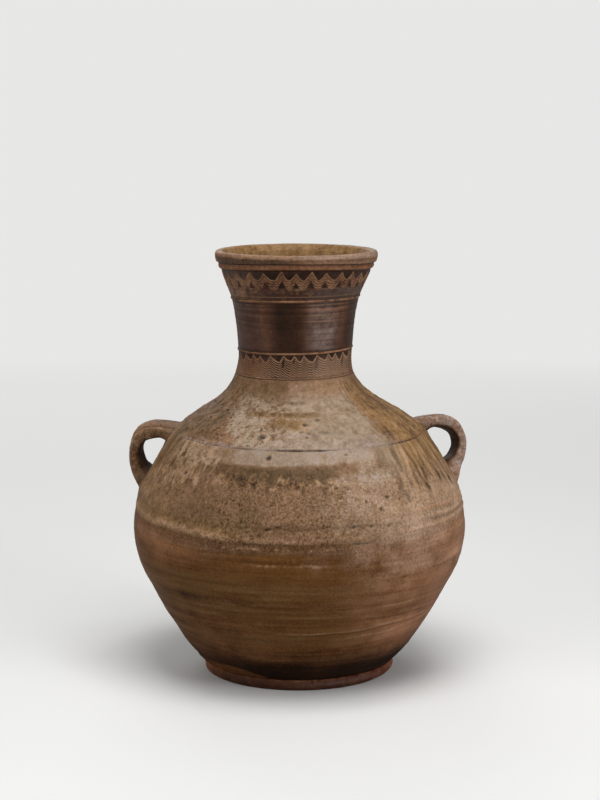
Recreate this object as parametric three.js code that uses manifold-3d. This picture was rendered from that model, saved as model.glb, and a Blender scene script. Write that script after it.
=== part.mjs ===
// A hand-built stoneware jar with two strap loops on its shoulder.
// Millimetres, +Z up, front toward -Y, origin at the middle of the foot's underside.
// The wall is a stack of clay courses, each luted on the one below with a keyed edge.

import * as THREE from 'three';
import { mergeVertices } from 'three/addons/utils/BufferGeometryUtils.js';
import Module from 'manifold-3d';

// Driving dimensions
const JAR_HEIGHT = 347.5;
const FOOT_HEIGHT = 9.6;
const FOOT_RADIUS = 78.6;
const FOOT_INNER_RADIUS = 68.5;
const FLOOR_THICKNESS = 8.4;
const BELLY_HEIGHT = 120;
const BELLY_RADIUS = 137.2;
const NECK_HEIGHT = 258;
const NECK_RADIUS = 46.2;
const CUP_RADIUS = 60.2;
const CUP_HEIGHT = 331;
const LIP_RADIUS = 66.5;
const LIP_MIDDLE = 343.4;
const LIP_ROLL = 4.2;

// Heights of the joints between the courses
const FLOOR_JOINT = 18.6;
const LOWER_JOINT = 64;
const BELLY_JOINT = 124.6;
const SHOULDER_JOINT = 162;
const INCISED_LINE = 199.7;
const NECK_FOOT = 247;
const LOWER_CORD = 267.7;
const UPPER_CORD = 309.8;
const UNDER_LIP = 339.4;

// Turned details
const KEY_HEIGHT = 1.5;
const CORD_HALF_HEIGHT = 1.7;
const CORD_SEAT_DEPTH = 1.2;
const CORD_PROUD = 0.9;
const GROOVE_HALF_HEIGHT = 1.0;
const GROOVE_DEPTH = 0.9;
const FILLET_RADIUS = 63.3;
const FILLET_BOTTOM = 333.8;
const FILLET_TOP = 338.6;

// Loops
const LOOP_GAP = 0.3;
const LOOP_STEPS = 26;
const LOOP_FLARE_WIDTH = 8;
const LOOP_FLARE_THICKNESS = 4;
const LOOP_FLARE_LENGTH = 24;
const MARGIN_GROOVE = 0.9;

const SEGMENTS = 52;

// The outside of the wall as a potter's gauge: height, then radius
const OUTSIDE_GAUGE = [
  [FOOT_HEIGHT, FOOT_RADIUS],
  [22.3, 90.8],
  [42, 104.2],
  [69, 119.8],
  [95, 132.7],
  [BELLY_HEIGHT, BELLY_RADIUS],
  [141, 134.4],
  [151, 131.6],
  [168.7, 121.9],
  [187.6, 110.6],
  [206.4, 95],
  [216, 81.8],
  [223.1, 69.9],
  [234.2, 56.2],
  [245, 49.2],
  [NECK_HEIGHT, NECK_RADIUS],
  [272, 46.8],
  [296, 49.3],
  [309.5, 52],
  [321, 56.4],
  [CUP_HEIGHT, CUP_RADIUS],
  [UNDER_LIP, 62.6],
];

// Wall thickness, measured square to the wall: height, then thickness
const WALL_GAUGE = [
  [FLOOR_JOINT, 9],
  [42, 8.5],
  [BELLY_HEIGHT, 7.5],
  [190, 7],
  [235, 7.5],
  [270, 6.5],
  [CUP_HEIGHT, 6.2],
  [UNDER_LIP, 6.6],
];

// How the hand-built wall wanders: sideways shift of its middle, height, and then value
const AXIS_SHIFT = [
  [0, 0],
  [BELLY_HEIGHT, 1],
  [200, 1],
  [217, 0.6],
  [235, -1.9],
  [248, -3.1],
  [262, -2.5],
  [300, -2.3],
  [JAR_HEIGHT, -1.4],
];
// Rise of a turned line for each millimetre to the right
const LINE_TILT = [
  [225, 0],
  [NECK_FOOT, 0.007],
  [LOWER_CORD, 0.022],
  [UPPER_CORD, 0.017],
  [UNDER_LIP, 0],
];
// Sag of a turned line at the sides, with the same rise at the front and back
const LINE_SAG = [
  [290, 0],
  [UPPER_CORD, 0.35],
  [325, 0.8],
  [UNDER_LIP, 1.3],
  [JAR_HEIGHT, 0],
];

const wasm = await Module();
wasm.setup();

// Smooth curve through [position, value] rows, with flat ends outside them.
function readGauge(rows, at) {
  const last = rows.length - 1;
  if (at <= rows[0][0]) return rows[0][1];
  if (at >= rows[last][0]) return rows[last][1];
  let i = 0;
  while (rows[i + 1][0] < at) i += 1;
  const step = (k) => rows[k + 1][0] - rows[k][0];
  const slope = (k) => (rows[k + 1][1] - rows[k][1]) / step(k);
  const tangent = (k) => {
    if (k === 0) return slope(0);
    if (k === last) return slope(last - 1);
    return (step(k - 1) * slope(k) + step(k) * slope(k - 1)) / (step(k - 1) + step(k));
  };
  const h = step(i);
  const t = (at - rows[i][0]) / h;
  const rise = rows[i + 1][1] - rows[i][1];
  const cubic = (1 - t) * tangent(i) * h - t * tangent(i + 1) * h + (2 * t - 1) * rise;
  return rows[i][1] + t * rise + t * (1 - t) * cubic;
}

const outerRadius = (z) => readGauge(OUTSIDE_GAUGE, z);

function outerSlope(z) {
  const reach = 0.5;
  const high = Math.min(z + reach, UNDER_LIP);
  const low = Math.max(z - reach, FOOT_HEIGHT);
  return (outerRadius(high) - outerRadius(low)) / (high - low);
}

// Point at a depth under the outside, and a lift along the wall.
function wallPoint(z, depth, lift = 0) {
  const slope = outerSlope(z);
  const size = Math.hypot(1, slope);
  const radius = outerRadius(z) + (lift * slope - depth) / size;
  return new THREE.Vector2(radius, z + (lift + depth * slope) / size);
}

const innerPoint = (z) => wallPoint(z, readGauge(WALL_GAUGE, z));

// Move one vertex from the true revolve to where the hand-built wall lies.
function wander(point) {
  const angle = Math.atan2(point.y, point.x);
  const tilt = readGauge(LINE_TILT, point.z) * point.x;
  const sag = readGauge(LINE_SAG, point.z) * Math.cos(2 * angle);
  point.x += readGauge(AXIS_SHIFT, point.z);
  point.z += tilt - sag;
  return point;
}

function wanderGeometry(geometry) {
  const position = geometry.getAttribute('position');
  const point = new THREE.Vector3();
  for (let i = 0; i < position.count; i += 1) {
    wander(point.fromBufferAttribute(position, i));
    position.setXYZ(i, point.x, point.y, point.z);
  }
  geometry.computeVertexNormals();
  return geometry;
}

// Revolve a profile that runs up the outside, and let it wander.
function turned(profile) {
  const geometry = new THREE.LatheGeometry(profile, SEGMENTS);
  geometry.rotateX(Math.PI / 2);
  return wanderGeometry(geometry);
}

// A ring whose last two faces lie on the piece below. They are split along the other
// diagonal, so that both pieces have the very same triangles where they touch.
function turnedRing(profile) {
  const geometry = turned([...profile, profile[0].clone()]);
  const index = geometry.getIndex();
  for (let quad = 0; quad < profile.length * SEGMENTS; quad += 1) {
    if (quad % profile.length < profile.length - 2) continue;
    const [a, b, d, c] = [0, 1, 2, 3].map((corner) => index.getX(quad * 6 + corner));
    [a, b, c, a, c, d].forEach((vertex, k) => index.setX(quad * 6 + k, vertex));
  }
  return geometry;
}

function heightsBetween(low, high, count) {
  return Array.from({ length: count }, (_, i) => low + ((high - low) * (i + 1)) / (count + 1));
}

// A joint's section from the outside in. A seat is a V cut round the outside at the joint.
function jointSection(joint) {
  const depth = joint.seatDepth ?? 0;
  const thickness = readGauge(WALL_GAUGE, joint.z);
  const middle = wallPoint(joint.z, (thickness + depth) / 2, KEY_HEIGHT);
  return [wallPoint(joint.z, depth), middle, wallPoint(joint.z, thickness)];
}

const seatEdge = (joint, side) => wallPoint(joint.z + side * (joint.seatHalf ?? 0), 0);

// One course of the wall between two joints.
function course(low, high, outerCount, innerCount) {
  const lowEdge = low.z + (low.seatHalf ?? 0);
  const highEdge = high.z - (high.seatHalf ?? 0);
  const outside = heightsBetween(lowEdge, highEdge, outerCount).map((z) => wallPoint(z, 0));
  if (low.seatHalf) outside.unshift(seatEdge(low, 1));
  if (high.seatHalf) outside.push(seatEdge(high, -1));
  const inside = heightsBetween(low.z, high.z, innerCount).map(innerPoint).reverse();
  return ringOnJoint(low, [...outside, ...jointSection(high), ...inside]);
}

// Close a profile on the joint below it: outer edge first, then inner edge and key last.
function ringOnJoint(low, profile) {
  const [outer, middle, inner] = jointSection(low);
  return turnedRing([outer, ...profile, inner, middle]);
}

const joints = {
  floor: { z: FLOOR_JOINT },
  lower: { z: LOWER_JOINT },
  belly: { z: BELLY_JOINT },
  shoulder: { z: SHOULDER_JOINT },
  incised: { z: INCISED_LINE, seatDepth: GROOVE_DEPTH, seatHalf: GROOVE_HALF_HEIGHT },
  neckFoot: { z: NECK_FOOT, seatDepth: GROOVE_DEPTH, seatHalf: GROOVE_HALF_HEIGHT },
  lowerCord: { z: LOWER_CORD, seatDepth: CORD_SEAT_DEPTH, seatHalf: CORD_HALF_HEIGHT },
  upperCord: { z: UPPER_CORD, seatDepth: CORD_SEAT_DEPTH, seatHalf: CORD_HALF_HEIGHT },
  lip: { z: UNDER_LIP },
};

function footRing() {
  const point = (r, z) => new THREE.Vector2(r, z);
  return turnedRing([
    point(FOOT_INNER_RADIUS, 0),
    point(FOOT_RADIUS - 1.4, 0),
    point(FOOT_RADIUS + 0.1, 1.8),
    point(FOOT_RADIUS + 0.4, 5.4),
    point(FOOT_RADIUS - 0.6, FOOT_HEIGHT),
    point(FOOT_INNER_RADIUS + 1, FOOT_HEIGHT),
    point(FOOT_INNER_RADIUS - 0.6, 5),
  ]);
}

function baseSlab() {
  const top = FOOT_HEIGHT + FLOOR_THICKNESS;
  return turned([
    new THREE.Vector2(0, FOOT_HEIGHT),
    new THREE.Vector2(FOOT_RADIUS - 0.6, FOOT_HEIGHT),
    wallPoint(14, 0),
    ...jointSection(joints.floor),
    new THREE.Vector2(70, top + 1.6),
    new THREE.Vector2(0, top),
  ]);
}

// The flared cup of the mouth, with the plain fillet under the lip.
function mouthCup() {
  const low = joints.upperCord;
  const outside = [
    seatEdge(low, 1),
    wallPoint(320, 0),
    new THREE.Vector2(CUP_RADIUS, CUP_HEIGHT),
    new THREE.Vector2(CUP_RADIUS + 0.8, FILLET_BOTTOM - 1),
    new THREE.Vector2(FILLET_RADIUS - 0.4, FILLET_BOTTOM),
    new THREE.Vector2(FILLET_RADIUS, (FILLET_BOTTOM + FILLET_TOP) / 2),
    new THREE.Vector2(FILLET_RADIUS - 0.2, FILLET_TOP),
  ];
  const inside = [CUP_HEIGHT, 321].map(innerPoint);
  return ringOnJoint(low, [...outside, ...jointSection(joints.lip), ...inside]);
}

// The rolled lip: most of a round roll, sunk into a band inside the mouth.
function rimLip() {
  const rollMiddle = LIP_RADIUS - LIP_ROLL;
  const roll = [];
  for (const degrees of [-48, -18, 12, 42, 68, 92, 122, 158]) {
    const angle = THREE.MathUtils.degToRad(degrees);
    const height = LIP_MIDDLE + (JAR_HEIGHT - LIP_MIDDLE) * Math.sin(angle);
    roll.push(new THREE.Vector2(rollMiddle + LIP_ROLL * Math.cos(angle), height));
  }
  return ringOnJoint(joints.lip, roll);
}

// A thin clay cord laid in the V seat between two courses.
function neckCord(joint) {
  const bulge = (share) => wallPoint(joint.z + share * joint.seatHalf, -CORD_PROUD);
  return turnedRing([
    seatEdge(joint, -1),
    bulge(-0.5),
    bulge(0.5),
    seatEdge(joint, 1),
    wallPoint(joint.z, joint.seatDepth),
  ]);
}

// Section of a strap, counterclockwise: share of the width, share of the thickness, groove.
const STRAP_SECTION = [
  [0.5, 0.15, 0],
  [0.41, 0.5, 0],
  [0.31, 0.5, 1],
  [0.2, 0.5, 0],
  [-0.2, 0.5, 0],
  [-0.31, 0.5, 1],
  [-0.41, 0.5, 0],
  [-0.5, 0.15, 0],
  [-0.5, -0.2, 0],
  [-0.4, -0.5, 0],
  [0.4, -0.5, 0],
  [0.5, -0.2, 0],
];

// The two loops: centreline from the upper root to the lower one, as radius and height.
const loops = {
  left_handle: {
    azimuth: 174,
    width: 26.5,
    thickness: [[0, 8.5], [0.32, 11.6], [0.55, 8.6], [1, 7.5]],
    route: [
      [92, 193],
      [104, 197],
      [118, 198],
      [130, 193.5],
      [136.8, 182],
      [134, 168.5],
      [126.5, 157],
      [119, 148],
    ],
  },
  right_handle: {
    azimuth: 10,
    width: 24,
    thickness: [[0, 6.5], [0.35, 9], [0.55, 6.8], [1, 7]],
    route: [
      [92, 197],
      [104, 201],
      [117, 202.6],
      [128.6, 198.8],
      [135.6, 188],
      [134.4, 174.5],
      [128.4, 162.5],
      [121.5, 152],
    ],
  },
};

// Loft the strap along its route, with flared roots. Rings run counterclockwise round it.
function strapGeometry(loop) {
  const route = loop.route.map(([radius, z]) => new THREE.Vector3(radius, 0, z));
  const curve = new THREE.CatmullRomCurve3(route, false, 'centripetal');
  const azimuth = THREE.MathUtils.degToRad(loop.azimuth);
  const outward = new THREE.Vector3(Math.cos(azimuth), Math.sin(azimuth), 0);
  const across = new THREE.Vector3(-Math.sin(azimuth), Math.cos(azimuth), 0);
  const length = curve.getLength();
  const vertices = [];
  for (let k = 0; k <= LOOP_STEPS; k += 1) {
    const u = k / LOOP_STEPS;
    const middle = curve.getPointAt(u);
    const tangent = curve.getTangentAt(u);
    const toRoot = (Math.min(u, 1 - u) * length) / LOOP_FLARE_LENGTH;
    const flare = THREE.MathUtils.smoothstep(1 - toRoot, 0, 1);
    const width = loop.width + LOOP_FLARE_WIDTH * flare;
    const thickness = readGauge(loop.thickness, u) + LOOP_FLARE_THICKNESS * flare;
    for (const [side, rise, groove] of STRAP_SECTION) {
      const up = rise * thickness - groove * MARGIN_GROOVE;
      const point = outward.clone().multiplyScalar(middle.x - up * tangent.z);
      point.addScaledVector(across, side * width);
      point.z = middle.z + up * tangent.x;
      vertices.push(wander(point));
    }
  }
  return closedLoft(vertices, STRAP_SECTION.length);
}

// Join rings of vertices into one closed body with a fan at each end.
function closedLoft(vertices, ringSize) {
  const rings = vertices.length / ringSize;
  const faces = [];
  for (let k = 0; k < rings - 1; k += 1) {
    for (let i = 0; i < ringSize; i += 1) {
      const next = (i + 1) % ringSize;
      const [a, b] = [k * ringSize + i, k * ringSize + next];
      faces.push(a, b, a + ringSize, b, b + ringSize, a + ringSize);
    }
  }
  const end = (rings - 1) * ringSize;
  for (let i = 1; i < ringSize - 1; i += 1) {
    faces.push(0, i + 1, i, end, end + i, end + i + 1);
  }
  const geometry = new THREE.BufferGeometry().setFromPoints(vertices);
  geometry.setIndex(faces);
  return geometry;
}

function toSolid(geometry) {
  const bare = geometry.clone();
  bare.deleteAttribute('normal');
  bare.deleteAttribute('uv');
  const merged = mergeVertices(bare, 1e-4);
  const vertProperties = new Float32Array(merged.getAttribute('position').array);
  const triVerts = new Uint32Array(merged.getIndex().array);
  const mesh = new wasm.Mesh({ numProp: 3, vertProperties, triVerts });
  mesh.merge();
  return new wasm.Manifold(mesh);
}

function fromSolid(solid) {
  const { numProp, vertProperties, triVerts } = solid.getMesh();
  const geometry = new THREE.BufferGeometry();
  geometry.setAttribute('position', new THREE.BufferAttribute(vertProperties, numProp));
  geometry.setIndex(new THREE.BufferAttribute(triVerts, 1));
  geometry.computeVertexNormals();
  return geometry;
}

// The wall's outside between the belly and the neck, grown by the gap the loops keep.
function grownWall() {
  const heights = [
    ...heightsBetween(BELLY_JOINT, SHOULDER_JOINT, 3),
    SHOULDER_JOINT,
    ...heightsBetween(SHOULDER_JOINT, INCISED_LINE - GROOVE_HALF_HEIGHT, 2),
    INCISED_LINE - GROOVE_HALF_HEIGHT,
    INCISED_LINE + GROOVE_HALF_HEIGHT,
    ...heightsBetween(INCISED_LINE + GROOVE_HALF_HEIGHT, NECK_FOOT - GROOVE_HALF_HEIGHT, 5),
  ];
  const outside = heights.map((z) => wallPoint(z, -LOOP_GAP));
  const bottom = new THREE.Vector2(0, outside[0].y);
  const top = new THREE.Vector2(0, outside[outside.length - 1].y);
  return toSolid(turned([bottom, ...outside, top]));
}

const wallCutter = grownWall();

function strapLoop(loop) {
  return fromSolid(toSolid(strapGeometry(loop)).subtract(wallCutter));
}

// Clay and glaze colours of each zone
const clay = (color, roughness) => new THREE.MeshStandardMaterial({ color, roughness, metalness: 0 });
const materials = {
  foot: clay('#4a2c22', 0.62),
  chocolate: clay('#4b322b', 0.55),
  redBrown: clay('#5d3d31', 0.5),
  granular: clay('#7d6650', 0.6),
  runs: clay('#867a5a', 0.4),
  ashGlaze: clay('#a9a283', 0.28),
  collar: clay('#6d5546', 0.45),
  neck: clay('#4d3c39', 0.38),
  cup: clay('#5f4737', 0.45),
  lip: clay('#8b6c50', 0.55),
  cord: clay('#8d6c52', 0.5),
  loop: clay('#8c7260', 0.6),
};

const pieces = {
  foot_ring: [footRing(), materials.foot],
  base_slab: [baseSlab(), materials.chocolate],
  lower_wall: [course(joints.floor, joints.lower, 2, 1), materials.chocolate],
  lower_belly: [course(joints.lower, joints.belly, 4, 2), materials.redBrown],
  upper_belly: [course(joints.belly, joints.shoulder, 3, 2), materials.granular],
  shoulder_wall: [course(joints.shoulder, joints.incised, 2, 2), materials.runs],
  shoulder_top: [course(joints.incised, joints.neckFoot, 5, 3), materials.ashGlaze],
  neck_collar: [course(joints.neckFoot, joints.lowerCord, 1, 1), materials.collar],
  neck_tube: [course(joints.lowerCord, joints.upperCord, 2, 2), materials.neck],
  mouth_cup: [mouthCup(), materials.cup],
  rim_lip: [rimLip(), materials.lip],
  lower_neck_cord: [neckCord(joints.lowerCord), materials.cord],
  upper_neck_cord: [neckCord(joints.upperCord), materials.cord],
  left_handle: [strapLoop(loops.left_handle), materials.loop],
  right_handle: [strapLoop(loops.right_handle), materials.loop],
};

const jar = new THREE.Group();
for (const [name, [geometry, material]] of Object.entries(pieces)) {
  const mesh = new THREE.Mesh(geometry, material);
  mesh.name = name;
  jar.add(mesh);
}

export default jar;
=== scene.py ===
"""Looks of a hand-built stoneware jar with combed neck bands and two strap loops.

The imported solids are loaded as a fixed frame, and each is replaced by a finely
modelled surface in the same place. Lengths inside the classes are millimetres, and
azimuths are degrees round the jar from the front, positive to the viewer's right.
"""

import logging
import math
from collections.abc import Callable
from dataclasses import dataclass, field, fields
from enum import Enum

import bpy
import numpy as np
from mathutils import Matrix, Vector


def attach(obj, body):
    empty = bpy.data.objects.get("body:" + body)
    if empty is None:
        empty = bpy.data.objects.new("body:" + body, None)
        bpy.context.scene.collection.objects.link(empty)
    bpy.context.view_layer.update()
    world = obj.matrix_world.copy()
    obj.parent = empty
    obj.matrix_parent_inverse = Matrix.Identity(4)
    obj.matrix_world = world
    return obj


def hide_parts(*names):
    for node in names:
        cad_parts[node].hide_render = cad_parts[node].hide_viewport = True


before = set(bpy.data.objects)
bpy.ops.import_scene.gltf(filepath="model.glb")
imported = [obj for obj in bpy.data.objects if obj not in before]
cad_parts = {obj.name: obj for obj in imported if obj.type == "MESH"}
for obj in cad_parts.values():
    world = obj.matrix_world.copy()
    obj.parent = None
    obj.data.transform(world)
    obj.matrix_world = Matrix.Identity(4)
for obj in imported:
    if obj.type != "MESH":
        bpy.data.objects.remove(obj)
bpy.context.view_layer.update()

log = logging.getLogger("jar")

METRES_PER_MM = 0.001
AROUND = 840
Array = np.ndarray
Gauge = tuple[tuple[float, float], ...]
Colour = tuple[float, float, float, float]
Socket = bpy.types.NodeSocket
Piece = bpy.types.Object


class Coat(Enum):
    """What lies on the clay at a point, each kept as a share from 0 to 1.

    The tone is above 0 where the surface is lighter and below 0 where it is darker.
    Some shares also carry painted light and shade. The dark coat is painted shade under
    the lip, towards the foot, at the right edge of the neck's tube and on the loops'
    inner faces. The violet coat is a painted highlight on the tube and a painted sheen
    on the foot ring. The rust coat is a painted highlight along the foot ring's top
    edge. The tone is painted shade towards the foot and at the left of the foot ring,
    and painted sheen on the shoulder left of the front.
    """

    RED = "red_clay"
    OLIVE = "olive_slip"
    TAN = "tan_clay"
    CREAM = "cream_ash"
    GOLD = "golden_ash"
    VIOLET = "violet_bloom"
    RUST = "rust_edge"
    PALE = "pale_line"
    DARK = "dark_pool"
    INSIDE = "inner_wall"
    GRIT = "gritty"
    GLOSS = "glossy"
    STREAK = "streaked"
    TONE = "tone"


RED, OLIVE, TAN, CREAM, GOLD, VIOLET, RUST, PALE, DARK, INSIDE, GRIT, GLOSS, STREAK, TONE = Coat
Coats = dict[Coat, Array | float]

# Noises that the relief and the coats both read: cell, octaves and start, and for the
# two that are drawn out down the wall, width, length and start
GRAIN = (2.6, 2, 41.0)
LUMPS = (4.6, 2, 31.0)
FLOW = (7.5, 90, 21.4)
STREAKS = (3.6, 18, 33.4)


# Shape of the wall


def read_gauge(rows: Gauge, at: Array | float) -> Array:
    """Read a smooth curve through rows of position and value.

    Between two rows the value is a cubic whose end slopes are the means of the
    neighbouring slopes, weighted by the other step. Outside the rows it is flat.

    Args:
        rows: pairs of position and value, in rising order.
        at: positions to read.

    Returns:
        The value at each position.
    """
    position, value = np.asarray(rows, float).T
    step = np.diff(position)
    slope = np.diff(value) / step
    inner = (step[:-1] * slope[1:] + step[1:] * slope[:-1]) / (step[:-1] + step[1:])
    tangent = np.concatenate([slope[:1], inner, slope[-1:]])
    x = np.clip(at, position[0], position[-1])
    i = np.clip(np.searchsorted(position, x, side="left") - 1, 0, len(step) - 1)
    t = (x - position[i]) / step[i]
    rise = value[i + 1] - value[i]
    bend = (1 - t) * tangent[i] * step[i] - t * tangent[i + 1] * step[i] + (2 * t - 1) * rise
    return value[i] + t * rise + t * (1 - t) * bend


def unit(x: Array) -> Array:
    """Keep a share between 0 and 1."""
    return np.clip(x, 0, 1)


def ramp(x: Array, low: float | Array, high: float | Array) -> Array:
    """Rise from 0 at low to 1 at high along 3t^2 - 2t^3."""
    t = unit((x - low) / (high - low))
    return t * t * (3 - 2 * t)


def band(x: Array, low: float | Array, high: float | Array, soft: float) -> Array:
    """Share inside a band from low to high, with edges that are soft both ways."""
    inside = ramp(x, low - soft, low + soft)
    return inside * (1 - ramp(x, high - soft, high + soft))


def turn_between(azimuth: Array, middle: float | Array) -> Array:
    """Shortest turn from a middle azimuth, from -180 to 180 degrees."""
    return (azimuth - middle + 180) % 360 - 180


def arc(azimuth: Array, low: float | Array, high: float | Array, soft: float) -> Array:
    """Share inside an arc from low to high azimuth, with soft ends."""
    away, half = np.abs(turn_between(azimuth, (low + high) / 2)), (high - low) / 2
    return 1 - ramp(away, half - soft, half + soft)


def bell(x: Array, width: float | Array) -> Array:
    """A bell curve with its middle at 0: e to the power of minus the square of x over width."""
    return np.exp(-((x / width) ** 2))


def crest_share(phase: Array) -> Array:
    """How near a wave's crest a phase is: 1 at each whole number and 0 half way."""
    return np.abs(phase % 1 - 0.5) * 2


def running_length(steps: Array) -> Array:
    """Add up steps to the length from the start to each point."""
    return np.concatenate([[0], np.cumsum(steps)])


@dataclass(frozen=True)
class Joint:
    """Where one course of clay meets the next, with the V cut round its outside."""

    z: float
    seat_depth: float = 0.0
    seat_half: float = 1.0


@dataclass(frozen=True)
class WallForm:
    """The hand-built wall: a turned profile whose middle and turned lines wander."""

    foot_height: float = 9.6
    under_lip: float = 339.4
    key_height: float = 1.5
    outside: Gauge = (
        (9.6, 78.6), (22.3, 90.8), (42, 104.2), (69, 119.8), (95, 132.7), (120, 137.2),
        (141, 134.4), (151, 131.6), (168.7, 121.9), (187.6, 110.6), (206.4, 95),
        (216, 81.8), (223.1, 69.9), (234.2, 56.2), (245, 49.2), (258, 46.2), (272, 46.8),
        (296, 49.3), (309.5, 52), (321, 56.4), (331, 60.2), (339.4, 62.6),
    )
    thickness: Gauge = (
        (18.6, 9), (42, 8.5), (120, 7.5), (190, 7), (235, 7.5), (270, 6.5), (331, 6.2),
        (339.4, 6.6),
    )
    shift: Gauge = (
        (0, 0), (120, 1), (200, 1), (217, 0.6), (235, -1.9), (248, -3.1), (262, -2.5),
        (300, -2.3), (347.5, -1.4),
    )
    tilt: Gauge = ((225, 0), (247, 0.007), (267.7, 0.022), (309.8, 0.017), (339.4, 0))
    sag: Gauge = ((290, 0), (309.8, 0.35), (325, 0.8), (339.4, 1.3), (347.5, 0))

    def radius(self, z: Array) -> Array:
        """Outer radius at a height of the profile."""
        return read_gauge(self.outside, z)

    def slope(self, z: Array) -> Array:
        """Change of the outer radius for each millimetre of height."""
        high, low = np.minimum(z + 0.5, self.under_lip), np.maximum(z - 0.5, self.foot_height)
        return (self.radius(high) - self.radius(low)) / (high - low)

    def wall_point(
        self, z: Array, depth: Array | float, lift: float = 0.0
    ) -> tuple[Array, Array]:
        """Find a point under the outside, measured square to the profile.

        Args:
            z: height on the profile where the depth is measured from.
            depth: distance under the outside, negative above it.
            lift: distance along the wall, upwards.

        Returns:
            The radius and the height of the point.
        """
        slope = self.slope(z)
        size = np.hypot(1, slope)
        return self.radius(z) + (lift * slope - depth) / size, z + (lift + depth * slope) / size

    def place(self, azimuth: Array, radius: Array, height: Array) -> Array:
        """Turn radius and height into points that follow the wandering wall.

        Args:
            azimuth: degrees from the front, positive to the right.
            radius: distance from the jar's middle line.
            height: height on the profile.

        Returns:
            An array of x, y and z, with the last axis for the three.
        """
        angle = np.radians(azimuth)
        return self.wander(radius * np.sin(angle), -radius * np.cos(angle), height)

    def wander(self, x: Array, y: Array, z: Array) -> Array:
        """Shift points sideways, and lift them by the tilt and the sag of the turned lines.

        Args:
            x, y, z: the points before they wander.

        Returns:
            An array of x, y and z, with the last axis for the three.
        """
        x, y, z = np.broadcast_arrays(x, y, z)
        lift = read_gauge(self.tilt, z) * x
        lift = lift - read_gauge(self.sag, z) * np.cos(2 * np.arctan2(y, x))
        return np.stack([x + read_gauge(self.shift, z), y, z + lift], axis=-1)

    def stations(self, low: float, high: float, spacing: float) -> Array:
        """Space heights evenly along the wall.

        Args:
            low: the first height.
            high: the last height.
            spacing: the largest step along the wall.

        Returns:
            The heights, in rising order.
        """
        fine = np.linspace(low, high, 400)
        length = running_length(np.hypot(np.diff(fine), np.diff(self.radius(fine))))
        count = max(2, int(math.ceil(length[-1] / spacing)) + 1)
        return np.interp(np.linspace(0, length[-1], count), length, fine)


class ClayNoise:
    """Smooth random values in space, the same at each run."""

    def __init__(self, seed: int = 17, cells: int = 64) -> None:
        """Fill a block of random values that repeats in every direction."""
        self.cells = cells
        self.block = np.random.default_rng(seed).random((cells, cells, cells)) * 2 - 1

    def sample(
        self,
        points: Array,
        scale: float | tuple[float, float, float],
        octaves: int = 3,
        start: float = 0.0,
    ) -> Array:
        """Add octaves of value noise.

        Each octave blends the eight nearest random values by smooth steps, and has half
        the size and half the weight of the one before.

        Args:
            points: places in millimetres, with x, y and z on the last axis.
            scale: size of the largest cell, for all three directions or for each.
            octaves: how many octaves are added.
            start: offset in cells that makes one pattern differ from another.

        Returns:
            Values from about -1 to 1.
        """
        total = np.zeros(points.shape[:-1])
        weight, reach = 1.0, 0.0
        for octave in range(octaves):
            at = points / np.asarray(scale, float) * 2**octave + start + 11.3 * octave
            cell = np.floor(at).astype(int)
            part = at - cell
            part = part * part * (3 - 2 * part)
            for corner in np.ndindex(2, 2, 2):
                index = (cell + corner) % self.cells
                share = np.prod(np.where(corner, part, 1 - part), axis=-1)
                total += weight * share * self.block[index[..., 0], index[..., 1], index[..., 2]]
            reach += weight
            weight *= 0.5
        return total * 1.6 / reach


# What the fire, the comb and the ash left on the wall


@dataclass(frozen=True)
class Pit:
    """A burst bubble or a pinhole in the surface."""

    azimuth: float
    z: float
    radius: float
    depth: float


@dataclass(frozen=True)
class Ledge:
    """A low ridge that runs part of the way round, from one height to another."""

    start: float
    end: float
    z_start: float
    z_end: float
    half: float
    proud: float
    coat: Coat | None = None
    strength: float = 0.6


@dataclass(frozen=True)
class Run:
    """A run of melted ash: where it starts, where its drop ends, and how dark it is."""

    azimuth: float
    end_azimuth: float
    z_top: float
    z_end: float
    half: float
    dark: float
    violet: float = 0.0


@dataclass(frozen=True)
class Wash:
    """A wash of one coat over a patch of wall.

    Its share is the strength, times an arc from left to right, times a band from low to
    high, times the base plus each of the clay's noises times its weight.
    """

    coat: Coat
    strength: float
    left: float
    right: float
    fade: float
    low: float
    high: float
    soft: float
    base: float = 1.0
    wide: float = 0.0
    small: float = 0.0
    tiny: float = 0.0
    sweep: float = 0.0
    grain: float = 0.0
    ragged: bool = True


PITS = tuple(Pit(*row) for row in (
    (-18.6, 208, 3.9, 1.8), (-31.7, 225.4, 1.8, 0.8), (3.4, 216.5, 2.6, 1),
    (1, 211.9, 2, 0.8), (5, 211.2, 1.6, 0.7), (3.6, 208.4, 1.5, 0.7),
    (11, 219.5, 2.4, 0.8), (-13, 194, 2.9, 1.1), (20.3, 196, 1.7, 0.6),
    (22.6, 197.6, 1.3, 0.5), (-50.3, 177, 2.8, 1.1), (-58, 178.6, 2, 0.9),
    (-30.9, 206.6, 2.2, 0.8), (24.1, 162.1, 1.9, 0.8), (33, 164, 2.6, 1),
    (29.3, 156.1, 2.4, 1), (37.6, 100.8, 1.7, 0.5), (-52, 222, 2.4, 0.8),
    (-60, 216, 2.2, 0.9), (-37, 178.6, 1.5, 0.6), (13.6, 173, 1.7, 0.6),
    (-24, 201.6, 2, 0.5), (-20, 212.6, 1.9, 0.7), (-12, 222.6, 1.5, 0.6),
    (128, 214, 3.2, 1.4), (171, 191, 2.6, 1), (-141, 205, 3, 1.2),
    (150, 166, 2.4, 0.9), (-120, 158, 2.2, 0.9), (-160, 112, 2, 0.6),
))
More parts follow.
